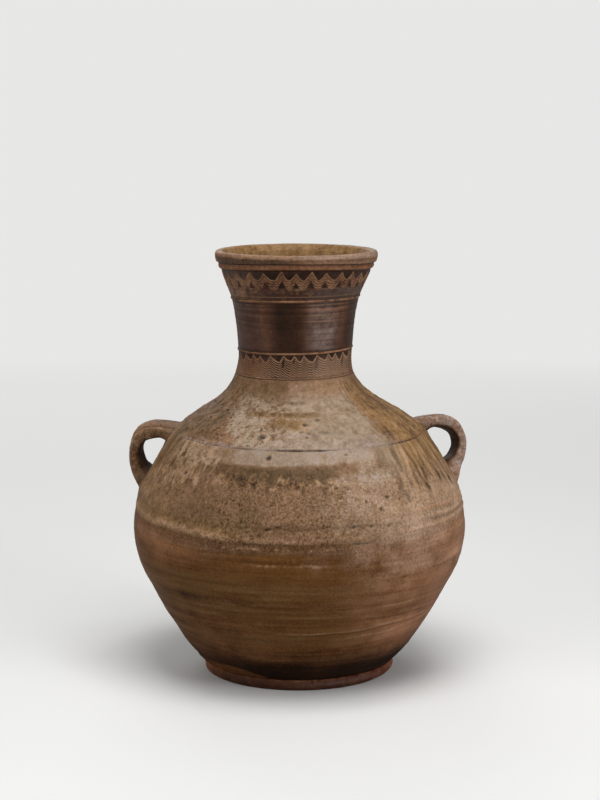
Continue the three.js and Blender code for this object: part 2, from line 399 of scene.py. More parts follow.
# Small pits scattered over a patch: their number, left, right, low, high, and the
# radius of the smallest and the largest
PIT_GROUPS = (
    (210, -54, -12, 204, 234, 0.5, 1.6), (34, -12, 42, 206, 234, 0.5, 1.1),
    (80, -84, -40, 166, 220, 0.6, 1.6), (90, -60, 70, 136, 176, 0.4, 0.9),
    (60, 100, 170, 205, 232, 0.6, 1.5), (60, 60, 180, 135, 190, 0.5, 1.2),
    (60, -180, -80, 135, 215, 0.5, 1.4), (30, -180, 180, 30, 126, 0.5, 0.9),
)
LEDGES = tuple(Ledge(*row) for row in (
    (-94, -16, 141.6, 136, 3.4, 0.6, GOLD, 0.9),
    (-94, -20, 141, 135.6, 2.8, 0, PALE, 0.75),
    (-94, -20, 148.6, 142.8, 1.8, -0.25, DARK, 0.16),
    (-94, -20, 136.6, 131.4, 1.3, -0.1, DARK, 0.22),
    (-24, 28, 135.4, 135.2, 1.5, 0.4, PALE, 0.2),
    (-24, 34, 143.8, 143.4, 1.4, -0.35),
    (-20, 40, 149.5, 150, 2, 0.22),
    (30, 98, 137.6, 139.6, 1.1, 0.6, PALE, 0.6),
    (44, 98, 145.4, 143.6, 1, 0.55, PALE, 0.6),
    (40, 98, 151.6, 150.2, 1, 0.3, RUST, 0.4),
    (46, 98, 142.2, 141.4, 1, -0.3, DARK, 0.3),
    (52, 96, 149.4, 147.2, 0.8, 0.35),
    (30, 70, 150.6, 148.2, 1.6, 0, OLIVE, 0.5),
    (-40, 62, 82.6, 84.2, 2.4, 0.2, PALE, 0.14),
    (-62, 30, 78, 76.6, 1.6, 0.18, PALE, 0.12),
    (-70, 0, 92, 88, 3, 0.1, GOLD, 0.3),
    (-80, -30, 74, 69, 0.6, 0.1, RUST, 0.26),
    (-80, -34, 66.5, 60.5, 0.6, 0.1, RUST, 0.3),
    (-70, -36, 61, 60.8, 0.6, 0.1, RUST, 0.4),
    (28, 58, 77.4, 77, 0.7, 0.2, PALE, 0.34),
    (20, 68, 69.6, 66, 0.7, 0.22, PALE, 0.4),
    (20, 68, 67.8, 64.2, 0.9, -0.1, DARK, 0.3),
    (-12, 70, 55.6, 61, 0.8, 0.22, PALE, 0.38),
    (-12, 70, 53.9, 59.3, 0.8, -0.1, DARK, 0.3),
    (10, 74, 50, 56, 0.7, 0.18, PALE, 0.3),
    (-72, -30, 47.9, 49.8, 0.6, 0.2, RUST, 0.4),
    (-30, 36, 40.6, 39.8, 0.6, 0.15, PALE, 0.14),
    (-5, 58, 33.4, 36, 0.5, 0.12, PALE, 0.16),
))
RUNS = tuple(Run(*row) for row in (
    (51, 54.8, 198.5, 165, 2, 0.8), (40.2, 41.8, 192, 161, 1.6, 0.5, 0.8),
    (60.3, 67.2, 198, 168.6, 1.9, 0.75), (73.4, 77, 198.5, 163, 2, 0.85),
    (79.6, 81.6, 196, 166, 1.6, 0.6), (49.4, 49.6, 186, 164, 1.3, 0.35),
    (34.9, 34.3, 199, 185, 1.2, 0.35), (38.4, 38.4, 190, 177, 1.2, 0.3),
    (45, 46.4, 199, 169, 1.3, 0.4), (56.4, 61.2, 199, 171, 1.4, 0.45),
    (66, 72, 199, 166.6, 1.6, 0.6), (86, 87, 197, 163.5, 1.6, 0.6),
    (30.9, 30.6, 180, 168.5, 1, 0.3, 0.5), (19.8, 18.5, 181, 165.5, 1.6, 0.1, 0.9),
    (-21.6, -21.6, 187, 174.6, 2.6, 0.34), (-16.6, -16.8, 187, 174.6, 2.4, 0.28),
    (-11.4, -11.2, 187, 173.4, 2.6, 0.45), (-7.6, -7.6, 187, 175, 1.9, 0.34),
    (-3.8, -3.9, 188, 178, 2, 0.28), (-1.2, -1.2, 187, 175.6, 1.7, 0.3),
    (1.8, 1.8, 187, 172, 1.9, 0.34), (5.4, 5.6, 187, 177.6, 1.8, 0.3),
    (9.4, 9.5, 187, 174, 2.1, 0.55),
    (-40, -40.8, 190, 164.6, 1.6, 0.34), (-46, -47.6, 196, 170, 1.5, 0.3),
    (-53, -55, 197, 164, 1.7, 0.4), (-62, -64, 198, 168, 1.6, 0.3),
    (-71, -73, 198, 161, 1.8, 0.4), (-79, -80.5, 198, 166, 1.6, 0.4),
))
WASHES = (
    # Lower body
    Wash(RED, 0.85, 24, 130, 24, 8, 134, 4, 0.85, wide=0.35),
    Wash(RED, 0.5, -130, -34, 14, 108, 136, 6, 0.9, wide=0.4),
    Wash(RED, 0.24, -54, -6, 10, 28, 68, 8, wide=0.4),
    Wash(GOLD, 0.26, -120, -12, 16, 36, 96, 5, 0.8, wide=0.4, sweep=0.5),
    Wash(OLIVE, 0.45, -60, 28, 20, 30, 112, 14, 0.4, wide=0.5, sweep=0.9),
    Wash(OLIVE, 0.8, -80, -32, 14, 62, 78, 5, 0.3, wide=0.5, sweep=1.1),
    Wash(TONE, 0.38, -190, 190, 1, 12, 130, 4, 0, wide=0.3, sweep=1),
    Wash(TONE, 0.28, 28, 74, 10, 103, 138, 6, wide=0.3),
    Wash(TONE, 0.1, 34, 62, 8, 62, 92, 8),
    Wash(TONE, -0.17, -68, -14, 10, 48, 102, 7),
    Wash(TONE, 0.08, 34, 62, 8, 112, 150, 6),
    Wash(VIOLET, 0.26, 24, 56, 9, 106, 150, 7, 0.8, wide=0.5),
    Wash(TONE, 0.09, 22, 40, 6, 110, 138, 5),
    Wash(RUST, 0.4, -56, 4, 8, 7, 24, 4, 0.7, small=0.4),
    Wash(PALE, 0.26, 24, 84, 12, 96, 140, 8, 0.8, wide=0.4, small=0.4),
    Wash(VIOLET, 0.24, 8, 48, 12, 112, 128, 4, 0.8, wide=0.7, small=0.2),
    Wash(TAN, 0.9, -16, 22, 6, 114.6, 121, 1.6, 0, small=0.6, tiny=0.7, sweep=1.5),
    Wash(PALE, 0.6, -15, 20, 6, 115.8, 120.6, 1.2, 0, small=0.6, tiny=0.7, sweep=1.5),
    Wash(TAN, 0.8, -6, 18, 6, 121.4, 126.6, 1.2, -0.1, small=0.8, tiny=0.7, sweep=0.6),
    Wash(PALE, 0.7, -26, 10, 6, 127.8, 129.8, 0.5, 0.2, small=1, tiny=0.8),
    Wash(GRIT, 0.2, 0, 130, 20, 92, 130, 10),
    Wash(STREAK, 0.8, -190, 190, 1, 8, 133, 3),
    Wash(DARK, 0.34, -110, 16, 30, 12, 52, 12, 0.6, sweep=0.6),
    # Bare tan clay
    Wash(TAN, 0.8, -40, 48, 10, 122, 134, 3, 0.1, small=0.7, sweep=1.2),
    Wash(GRIT, 0.95, -34, 20, 12, 126, 184, 5),
    Wash(GRIT, 0.5, 14, 70, 10, 126, 184, 5),
    Wash(TONE, -0.1, -46, -16, 7, 112, 166, 6, wide=0.3),
    Wash(TONE, -0.14, -34, -15, 5, 118, 131, 3, small=0.4),
    Wash(TONE, 0.16, 36, 98, 8, 136, 166, 5, wide=0.3),
    Wash(TONE, 0.18, 2, 46, 6, 174, 199, 4),
    Wash(TONE, 0.19, 20, 66, 8, 229, 264, 4),
    # A lighter tone on the shoulder left of the front: painted sheen.
    Wash(TONE, 0.12, -64, -24, 8, 183, 207, 4, small=0.5),
    Wash(TONE, -0.16, -36, 0, 8, 240, 247, 1.5),
    Wash(GRIT, 0.3, -190, 190, 1, 126, 190, 5),
    Wash(GRIT, 0.7, -104, -44, 10, 158, 240, 6),
    Wash(GOLD, 0.66, -100, -46, 8, 196, 236, 5, 0.6, wide=0.4, small=0.6),
    Wash(DARK, 0.4, -104, -46, 8, 160, 236, 6, -0.3, small=0.8, tiny=0.7),
    Wash(GRIT, 0.6, -60, -2, 10, 200, 236, 4),
    Wash(TONE, 0.2, -190, 18, 8, 128, 184, 6, 0, wide=0.3, small=0.8, tiny=0.5, grain=0.5),
    Wash(TONE, 0.12, 18, 176, 8, 128, 184, 6, 0.2, wide=0.5, small=0.5, tiny=0.4),
    Wash(OLIVE, 0.36, -100, 2, 16, 138, 170, 7, 0.5, wide=0.6, sweep=0.5),
    Wash(PALE, 0.24, -95, -40, 12, 146, 188, 7, 0.6, wide=0.6, small=0.5),
    Wash(GOLD, 0.5, -108, -54, 10, 142, 194, 6, 0.6, small=0.8, tiny=0.6),
    Wash(TONE, 0.07, -108, -54, 10, 142, 190, 6),
    Wash(GOLD, 0.7, -95, -20, 12, 136, 148, 3, 0.8, small=0.4),
    Wash(PALE, 0.5, 16, 92, 12, 134, 176, 7, 0.8, wide=0.3, small=0.3),
    Wash(OLIVE, 0.5, -32, 20, 8, 152, 173, 5, 0.1, wide=0.9, small=0.7),
    Wash(CREAM, 0.7, 14, 90, 12, 140, 180, 7, 0.7, wide=0.3, small=0.3),
    Wash(OLIVE, 0.45, 10, 60, 8, 128, 137, 3, 0.3, small=0.7, sweep=0.5),
    Wash(DARK, 0.75, -26, 36, 8, 143.4, 146, 1, 0.15, small=0.9, tiny=0.6),
    Wash(DARK, 0.8, -28, 30, 8, 131.7, 133.1, 0.5, 0.45, wide=0.5, small=0.6, ragged=False),
    # Brown clay under the neck, and the brown side of the pale ash
    Wash(OLIVE, 0.5, -190, 190, 1, 233, 247, 3, 0.2, wide=0.7, small=0.8),
    Wash(PALE, 0.4, -6, 50, 8, 235, 247, 3, 0.7, wide=0.5, small=0.5),
    Wash(VIOLET, 0.4, -6, 24, 6, 236, 246, 2, 0.5, small=0.7),
    Wash(OLIVE, 0.85, -78, -44, 6, 203, 230, 4, 0.5, wide=0.4, small=0.8),
    Wash(TONE, 0.2, -190, 190, 1, 200, 246, 3, 0, wide=0.3, small=0.7, tiny=0.8),
    # Pale ash over and under the incised line
    Wash(CREAM, 0.9, 22, 48, 5, 168, 200, 5, 0.75, wide=0.3, small=0.4),
    Wash(CREAM, 0.9, -66, -27, 5, 184, 200, 2, 0.45, small=0.8, tiny=0.5),
    Wash(PALE, 0.5, -66, -38, 5, 184, 202, 2, 0.2, small=0.7, tiny=0.8),
    Wash(CREAM, 0.95, -28, 32, 2.5, 189, 199.9, 1, 0.9, small=0.35),
    Wash(VIOLET, 0.5, -27, 31, 3, 189.4, 199.6, 1, 0.5, small=0.7),
    Wash(VIOLET, 0.6, -66, 44, 12, 200.4, 203.4, 1, 0.4, small=0.7, sweep=0.9),
    Wash(VIOLET, 0.6, 16, 34, 3, 153, 180, 4, 0.3, small=1.3),
    Wash(GOLD, 0.8, -30, 13, 6, 220.8, 224.4, 0.8, 0.9, wide=0.4, small=0.6, ragged=False),
    Wash(OLIVE, 0.75, -30, 13, 6, 221.4, 223.9, 0.6, 0.7, wide=0.4, small=0.8, ragged=False),
    Wash(DARK, 0.4, -22, 10, 6, 221.9, 223.5, 0.6, 0.4, small=0.9, ragged=False),
    Wash(OLIVE, 0.8, -20, 8, 6, 229.4, 231.4, 0.7, 0.7, small=0.8, ragged=False),
    Wash(GOLD, 0.85, -16, 4, 5, 213.4, 220.8, 1.8, 0.8, wide=0.4, small=0.5),
    Wash(OLIVE, 0.4, -13, 2, 4, 214.4, 220, 1.6, 0.6, wide=0.4, small=0.8),
    Wash(OLIVE, 0.5, 5, 24, 5, 209, 213.5, 1.6, 0.3, small=0.9, sweep=0.6),
    Wash(RUST, 0.4, -40, 14, 8, 202, 234, 3, -0.55, small=0.6, grain=1.2),
    # Olive ash that ends in drips
    Wash(TONE, 0.34, -70, 20, 6, 172, 190, 3, 0, wide=0.4, small=0.9, tiny=0.6),
)
# Thin dark lines round the neck, and pale rings on its tube: height, half width, share
NECK_LINES = ((269.6, 0.7, 0.8), (307.8, 0.7, 0.75), (312.2, 0.6, 0.75), (334.0, 0.6, 0.85))
TUBE_RINGS = (
    (298.2, 0.4, 1.0), (303.4, 0.35, 0.8), (291.5, 0.3, 0.6), (287.0, 0.3, 0.4), (306.4, 0.4, 1.0),
)


@dataclass
class Surface:
    """Relief of the whole wall, and where its marks lie.

    In every method azimuth is a row of azimuths, z a column of heights, and p the
    points of the plain profile there, which the noise reads.
    """

    form: WallForm
    noise: ClayNoise
    seats: tuple[Joint, ...]
    upper_crests: tuple[float, ...] = (
        -52.0, -37.4, -25.0, -10.6, 0.0, 12.0, 23.9, 37.3, 48.5, 60.0,
    )
    upper_wave_count: int = 28
    upper_wave_low: float = 326.3
    upper_wave_rise: float = 5.8
    upper_comb_pitch: float = 1.65
    upper_radius: float = 60.2
    mouth_band: tuple[float, float] = (319.2, 333.4)
    pool_foot: float = 320.5
    lower_wave_count: int = 31
    lower_wave_top: float = 265.8
    lower_wave_drop: float = 4.6
    lower_comb_pitch: float = 1.85
    lower_comb_lines: int = 11
    lower_radius: float = 46.6
    collar_top: float = 266.4
    first_line_half: float = 0.5
    line_half: float = 0.43
    broken_seats_below: float = 210.0

    def __post_init__(self) -> None:
        """Count the upper band's crests, and scatter the small pits, the same at each run."""
        turn = np.append(self.upper_crests, self.upper_crests[0] + 360)
        self.crest_turns = turn, np.append(np.arange(len(turn) - 1), self.upper_wave_count)
        rng = np.random.default_rng(5)
        scattered = []
        for count, left, right, low, high, small, large in PIT_GROUPS:
            azimuth = left + (right - left) * rng.random(count)
            z = low + (high - low) * rng.random(count)
            radius = small + (large - small) * rng.random(count) ** 2.2
            scattered += [Pit(a, h, r, 0.36 * r) for a, h, r in zip(azimuth, z, radius)]
        self.all_pits = PITS + tuple(scattered)

    # Combed bands

    def comb_lines(
        self, below_first: Array, steepness: Array, pitch: Array | float, count: Array | int
    ) -> Array:
        """Draw parallel comb lines.

        Args:
            below_first: height of the first line minus the point's height.
            steepness: rise of the first line for each millimetre round the wall.
            pitch: height from one line to the next.
            count: how many lines the comb drew.

        Returns:
            1 on a line and 0 between lines: a bell of the distance to the nearest line,
            measured square to it for the first, which is the deepest.
        """
        place = below_first / pitch
        nearest = np.clip(np.round(place), 0, count - 1)
        away = (place - nearest) * pitch
        first = nearest < 0.5
        half = np.where(first, self.first_line_half, self.line_half)
        return bell(away / np.where(first, np.hypot(1, steepness), 1), half)

    def drag(self, azimuth: Array) -> Array:
        """Unevenness of a comb line drawn by hand, in millimetres."""
        return 0.2 * np.sin(np.radians(azimuth * 53)) + 0.14 * np.sin(np.radians(azimuth * 97))

    def steepness(
        self, line: Callable[[Array], Array], phase: Array, radius: float, count: int
    ) -> Array:
        """Rise of a wavy line for each millimetre round the wall, from two near phases."""
        near, round_wall = 0.03, 2 * np.pi
        return (line(phase + near) - line(phase - near)) / (2 * near * round_wall * radius / count)

    def upper_phase(self, azimuth: Array) -> Array:
        """Count of wave crests of the upper band passed at an azimuth."""
        turn, count = self.crest_turns
        return np.interp((azimuth - turn[0]) % 360 + turn[0], turn, count)

    def upper_line(self, phase: Array) -> Array:
        """Height of the upper band's first line.

        A wave has a pointed crest and a round valley: one minus a power of the sine of
        the distance from the crest.

        Args:
            phase: crests passed, with the part of the wave after them.

        Returns:
            The height at each phase.
        """
        height = 1 + 0.16 * np.sin(phase * 2.7)
        valley = np.sin((1 - crest_share(phase)) * np.pi / 2) ** 1.15
        return self.upper_wave_low + self.upper_wave_rise * height * (1 - valley)

    def upper_waves(self, azimuth: Array, z: Array) -> tuple[Array, Array, Array]:
        """Comb the band under the lip, with lines that spread apart under the crests.

        Returns:
            The comb lines, the ground over them, and the dark pools that lie under the
            last line at the crests.
        """
        phase = self.upper_phase(azimuth)
        crest = crest_share(phase)
        steep = self.steepness(self.upper_line, phase, self.upper_radius, self.upper_wave_count)
        below = self.upper_line(phase) + self.drag(azimuth) - z
        pitch, count = self.upper_comb_pitch * (1 + crest), 5 - 2.6 * crest
        lines = self.comb_lines(below, steep, pitch, count) * (z > self.mouth_band[0])
        pools = ramp(below / pitch, count - 0.75, count - 0.25) * (z > self.pool_foot)
        return lines, ramp(-below, -0.2, 0.6), pools

    def lower_line(self, phase: Array) -> Array:
        """Height of the lower band's first line.

        A wave hangs between two pointed crests along a power of the sine, a little
        higher or lower than the one before it.

        Args:
            phase: crests passed, with the part of the wave after them.

        Returns:
            The height at each phase.
        """
        turn = np.floor(phase)
        height = 1 + 0.25 * np.sin(turn * 1.9)
        top = self.lower_wave_top + 0.5 * np.sin(turn * 2.4)
        return top - self.lower_wave_drop * height * np.sin(np.pi * (phase % 1) ** 1.5) ** 0.8

    def lower_waves(self, azimuth: Array, z: Array) -> tuple[Array, Array, Array]:
        """Comb the band above the neck's foot.

        Returns:
            The comb lines, the ground over them, and the gaps under the crests.
        """
        phase = (azimuth + 1.6) / 360 * self.lower_wave_count
        phase = phase + 0.14 * np.sin(np.radians(azimuth * 9))
        steep = self.steepness(self.lower_line, phase, self.lower_radius, self.lower_wave_count)
        slant = 0.1 * np.clip(self.fold(azimuth) - 12, 0, 40)
        below = self.lower_line(phase) + self.drag(azimuth) - z
        lines = self.comb_lines(
            below + slant * (below > 1.2),
            np.clip(steep, -1.6, 1.6),
            self.lower_comb_pitch,
            self.lower_comb_lines,
        )
        long = 4 + 5 * np.sin(np.round(phase) * 4.1)
        gaps = ramp(crest_share(phase), 0.7, 0.98) * band(below, 1.6, long, 1.4)
        lines = lines * (1 - gaps) * band(z, 248.9, self.collar_top, 0.4)
        return lines, ramp(-below, -0.3, 0.8), gaps

    def comb_clarity(self, azimuth: Array) -> Array:
        """How clearly the lower comb lines show round the neck."""
        turn = self.fold(azimuth)
        return 0.25 + 0.75 * arc(turn, -29, 22, 7) + 0.5 * arc(turn, 22, 90, 10)

    # Zones

    def fold(self, azimuth: Array) -> Array:
        """Azimuth on the front of the zone that a place at the back is like."""
        return np.where(np.abs(azimuth) > 90, np.sign(azimuth) * 180 - azimuth, azimuth)

    def drawn_noise(self, p: Array, z: Array, width: float, length: float, start: float) -> Array:
        """Noise that is drawn out down the wall.

        The points are moved out to one cylinder first, so that the streaks keep their
        count round the jar and narrow towards the neck.

        Args:
            width: size of a cell round the wall.
            length: size of a cell down the wall.
            start: offset in cells that makes one pattern differ from another.

        Returns:
            Values from about -1 to 1.
        """
        drawn = p.copy()
        spread = 108 / np.maximum(np.hypot(p[..., 0], p[..., 1]), 20)
        drawn[..., :2] *= spread[..., None]
        drawn[..., 2] = z
        return self.noise.sample(drawn, (width, width, length), 2, start)

    def side_share(self, azimuth: Array) -> Array:
        """Share of the thick ash at both sides of the shoulder."""
        turn = self.fold(azimuth)
        return arc(turn, 44, 136, 6) + arc(turn, -134, -46, 9)

    def run_zone(self, azimuth: Array, z: Array, flow: Array) -> Array:
        """Share of the runs below the incised line, with an edge that ends in fingers."""
        turn = self.fold(azimuth)
        wide = arc(turn, 34, 146, 8) + arc(turn, -144, -36, 9)
        edge = 169 - 7.0 * flow
        return wide * ramp(z, edge - 2.0, edge + 2.5) * (1 - ramp(z, 198.8, 200.0))

    def run_fields(self, azimuth: Array, z: Array) -> tuple[Array, Array, Array]:
        """Darkness, relief and bluish ends of the runs.

        A run is a bell across its path, which leans from its top to its end, and it
        swells into an egg-shaped drop at the end.

        Returns:
            Darkness from 0 to 1, relief in millimetres, and bluish share of the drops.
        """
        turn = self.fold(azimuth)
        dark = np.zeros(np.broadcast(azimuth, z).shape)
        relief, violet = np.zeros_like(dark), np.zeros_like(dark)
        wall = self.form.radius(z)
        for run in RUNS:
            along = unit((run.z_top - z) / (run.z_top - run.z_end))
            middle = run.azimuth + (run.end_azimuth - run.azimuth) * along
            middle = middle + 0.5 * np.sin(z * 0.31 + run.azimuth)
            across = np.radians(turn - middle) * wall
            length = band(z, run.z_end, run.z_top, 1.6)
            drop = bell(np.hypot(across / 1.1, (z - run.z_end - 1.6) / 2.0), 1.2 * run.half)
            line = bell(across, run.half * 0.72) * length * (0.3 + 0.7 * along)
            dark = np.maximum(dark, run.dark * np.maximum(line * 0.85, drop))
            violet = np.maximum(violet, run.violet * np.maximum(drop, 0.5 * line))
            relief = np.maximum(relief, 0.25 * bell(across, run.half) * length + 0.35 * drop)
        return dark, relief, violet

    def root_smears(self, azimuth: Array, z: Array) -> Array:
        """Smear clay on the wall round the roots of the loops.

        Returns:
            The sum of a soft patch round each root, near 1 at the root.
        """
        smear = np.zeros(np.broadcast(azimuth, z).shape)
        roots = ((-96, 194.5, 1.0), (-96, 152.5, 0.9), (100, 198.5, 0.9), (100, 156.0, 0.9))
        for middle, root, size in roots:
            round_wall = np.radians(turn_between(azimuth, middle)) * self.form.radius(z)
            along = (z - root) * np.hypot(1, self.form.slope(z))
            smear = smear + size * (1 - ramp(np.hypot(round_wall / 1.8, along), 5.5, 15.0))
        return smear

    def foot_apron(self, azimuth: Array, z: Array) -> Array:
        """Share of the foot's clay that was smeared up the wall at the left of the front."""
        edge = 8.2 + 9.5 * arc(azimuth, -82, -22, 20) + 1.0 * np.sin(np.radians(azimuth * 8))
        return 1 - ramp(z, edge - 1.2, edge + 0.8)

    def pit_fields(self, azimuth: Array, z: Array) -> tuple[Array, Array, Array]:
        """Relief, darkness and pale rims of all pits.

        A pit is a bowl, depth times the square of one minus the squared distance over
        the squared radius, with a low rim round it. Waves of its own angle make it
        uneven. Only the rows and columns near it are touched.

        Returns:
            Relief in millimetres, darkness from 0 to 1 and paleness from 0 to 1.
        """
        relief = np.zeros((len(z), azimuth.shape[1]))
        dark, pale = np.zeros_like(relief), np.zeros_like(relief)
        for pit in self.all_pits:
            reach = 2.0 * pit.radius
            stretch = float(np.hypot(1, self.form.slope(np.array(pit.z))))
            wall = float(self.form.radius(np.array(pit.z)))
            rows = np.flatnonzero(np.abs(z[:, 0] - pit.z) * stretch < reach)
            turn = turn_between(azimuth[0], pit.azimuth)
            columns = np.flatnonzero(np.abs(np.radians(turn)) * wall < reach)
            if not len(rows) or not len(columns):
                continue
            across = np.radians(turn[columns])[None, :] * wall
            along = ((z[rows, 0] - pit.z) * stretch)[:, None]
            angle = np.arctan2(along, across)
            uneven = 1 + 0.16 * np.sin(2 * angle + pit.azimuth) + 0.12 * np.sin(3 * angle + 3 * pit.z)
            away = np.hypot(across * 0.9, along * 1.1) / (pit.radius * uneven)
            bowl = unit(1 - away**2) ** 2
            window = np.ix_(rows, columns)
            relief[window] += pit.depth * (0.3 * bell(away - 1.15, 0.28) - bowl)
            shade = ramp(-away, -1.0, -0.4) * min(1.0, 0.4 + 0.22 * pit.radius)
            shade = shade * (0.78 + 0.22 * np.sin(angle))
            dark[window] = np.maximum(dark[window], shade)
            rim = bell(away - 1.25, 0.25) * min(1.0, 0.35 * pit.radius)
            pale[window] = np.maximum(pale[window], rim)
        return relief, dark, pale

    def ledge_share(self, ledge: Ledge, azimuth: Array, z: Array) -> Array:
        """Height of one ledge: a bell across its wavy line that fades at its two ends.

        Returns:
            A share from 0 to 1.
        """
        middle = (ledge.start + ledge.end) / 2
        half = (ledge.end - ledge.start) / 2
        turn = self.fold(azimuth) - middle
        line = np.interp(turn, (-half, half), (ledge.z_start, ledge.z_end))
        line = line + 0.5 * np.sin(np.radians(turn * 7)) + 0.25 * np.sin(np.radians(turn * 17))
        fade = 1 - ramp(np.abs(turn), half * 0.7, half * 1.05)
        return bell(z - line, ledge.half) * fade

    def line_strength(self, azimuth: Array) -> Array:
        """How deep and dark the incised line is: strong in front and at the right."""
        turn = self.fold(azimuth)
        front = 0.8 * arc(turn, -12, 13, 5) + 0.75 * arc(turn, -30, -21, 3)
        return unit(0.2 + front + 0.5 * arc(turn, 42, 72, 7) + 0.3 * arc(turn, -66, -34, 6))

    # Relief

    def seat_relief(self, azimuth: Array, z: Array) -> Array:
        """Cut the V seats under the cords and the two incised lines.

        Returns:
            Relief in millimetres, 0 or below.
        """
        depth = np.zeros(np.broadcast(azimuth, z).shape)
        for seat in self.seats:
            if seat.seat_depth:
                cut = unit(1 - np.abs(z - seat.z) / seat.seat_half) * seat.seat_depth
                broken = seat.z < self.broken_seats_below
                depth = depth - np.where(broken, cut * self.line_strength(azimuth), cut)
        return depth

    def fillet_relief(self, azimuth: Array, z: Array) -> Array:
        """The plain fillet between two grooves under the lip, broken at its right end."""
        heights = (332.4, 333.4, 334.2, 335.0, 335.8, 337.0, 337.8, 338.8, 339.4)
        proud = (0.0, -0.15, 0.35, 1.1, 1.4, 1.35, 0.95, 0.9, 1.0)
        broken = 0.3 * bell(turn_between(azimuth, 57), 3.0) * (z < 338.4)
        return np.interp(z, heights, proud) * (1 - broken)

    def throwing_relief(self, z: Array, p: Array) -> Array:
        """Ridges of the coils and the wheel: noise that is drawn out round the jar.

        Returns:
            Relief in millimetres.
        """
        body = 1 - ramp(z, 150, 168)
        low = self.noise.sample(p, (90, 90, 11), 2, 3.1)
        fine = self.noise.sample(p, (60, 60, 3.2), 2, 7.7)
        relief = (0.24 * low + 0.1 * fine) * (0.25 + 0.75 * body)
        relief = np.where(z > 246, 0.25 * relief, relief)
        tube = band(z, 269.5, 308.5, 1.0) * (0.3 + 0.7 * ramp(z, 280, 292))
        return relief + 0.12 * self.noise.sample(p, (200, 200, 2.0), 2, 1.9) * tube

    def relief(self, azimuth: Array, z: Array, p: Array) -> Array:
        """Add up the relief of the outside.

        Returns:
            Relief at each point in millimetres, outwards from the profile.
        """
        total = self.seat_relief(azimuth, z) + self.fillet_relief(azimuth, z)
        total += self.throwing_relief(z, p)
        total -= 0.45 * band(z, 95, 146, 12)
        for ledge in LEDGES:
            if ledge.proud:
                total += ledge.proud * self.ledge_share(ledge, azimuth, z)
        upper, _, _ = self.upper_waves(azimuth, z)
        lower, _, _ = self.lower_waves(azimuth, z)
        total += 0.4 * upper
        total -= 0.2 * band(z, *self.mouth_band, 0.5)
        combed = self.comb_clarity(azimuth)
        total += (0.34 * lower - 0.17) * combed * band(z, 248.6, self.collar_top, 0.5)
        shoulder = band(z, 158, 240, 6)
        thick = self.side_share(azimuth) * shoulder
        lump = self.noise.sample(p, *LUMPS)
        total += lump * (0.14 * shoulder + 0.28 * thick * ramp(z, 186, 204))
        flow, streak = (self.drawn_noise(p, z, *pattern) for pattern in (FLOW, STREAKS))
        total += self.run_zone(azimuth, z, flow) * (0.4 * flow + 0.2 * streak)
        _, swell, _ = self.run_fields(azimuth, z)
        total += swell * band(z, 155, 199, 1.0)
        total += 1.1 * self.root_smears(azimuth, z) * (1 + 0.3 * lump)
        total += 0.7 * self.foot_apron(azimuth, z) * ramp(z, 9.8, 11.5)
        total += self.noise.sample(p, *GRAIN) * 0.07 * band(z, 122, 248, 6)
        pits, _, _ = self.pit_fields(azimuth, z)
        return total + pits * band(z, 19.5, 338.2, 0.8)


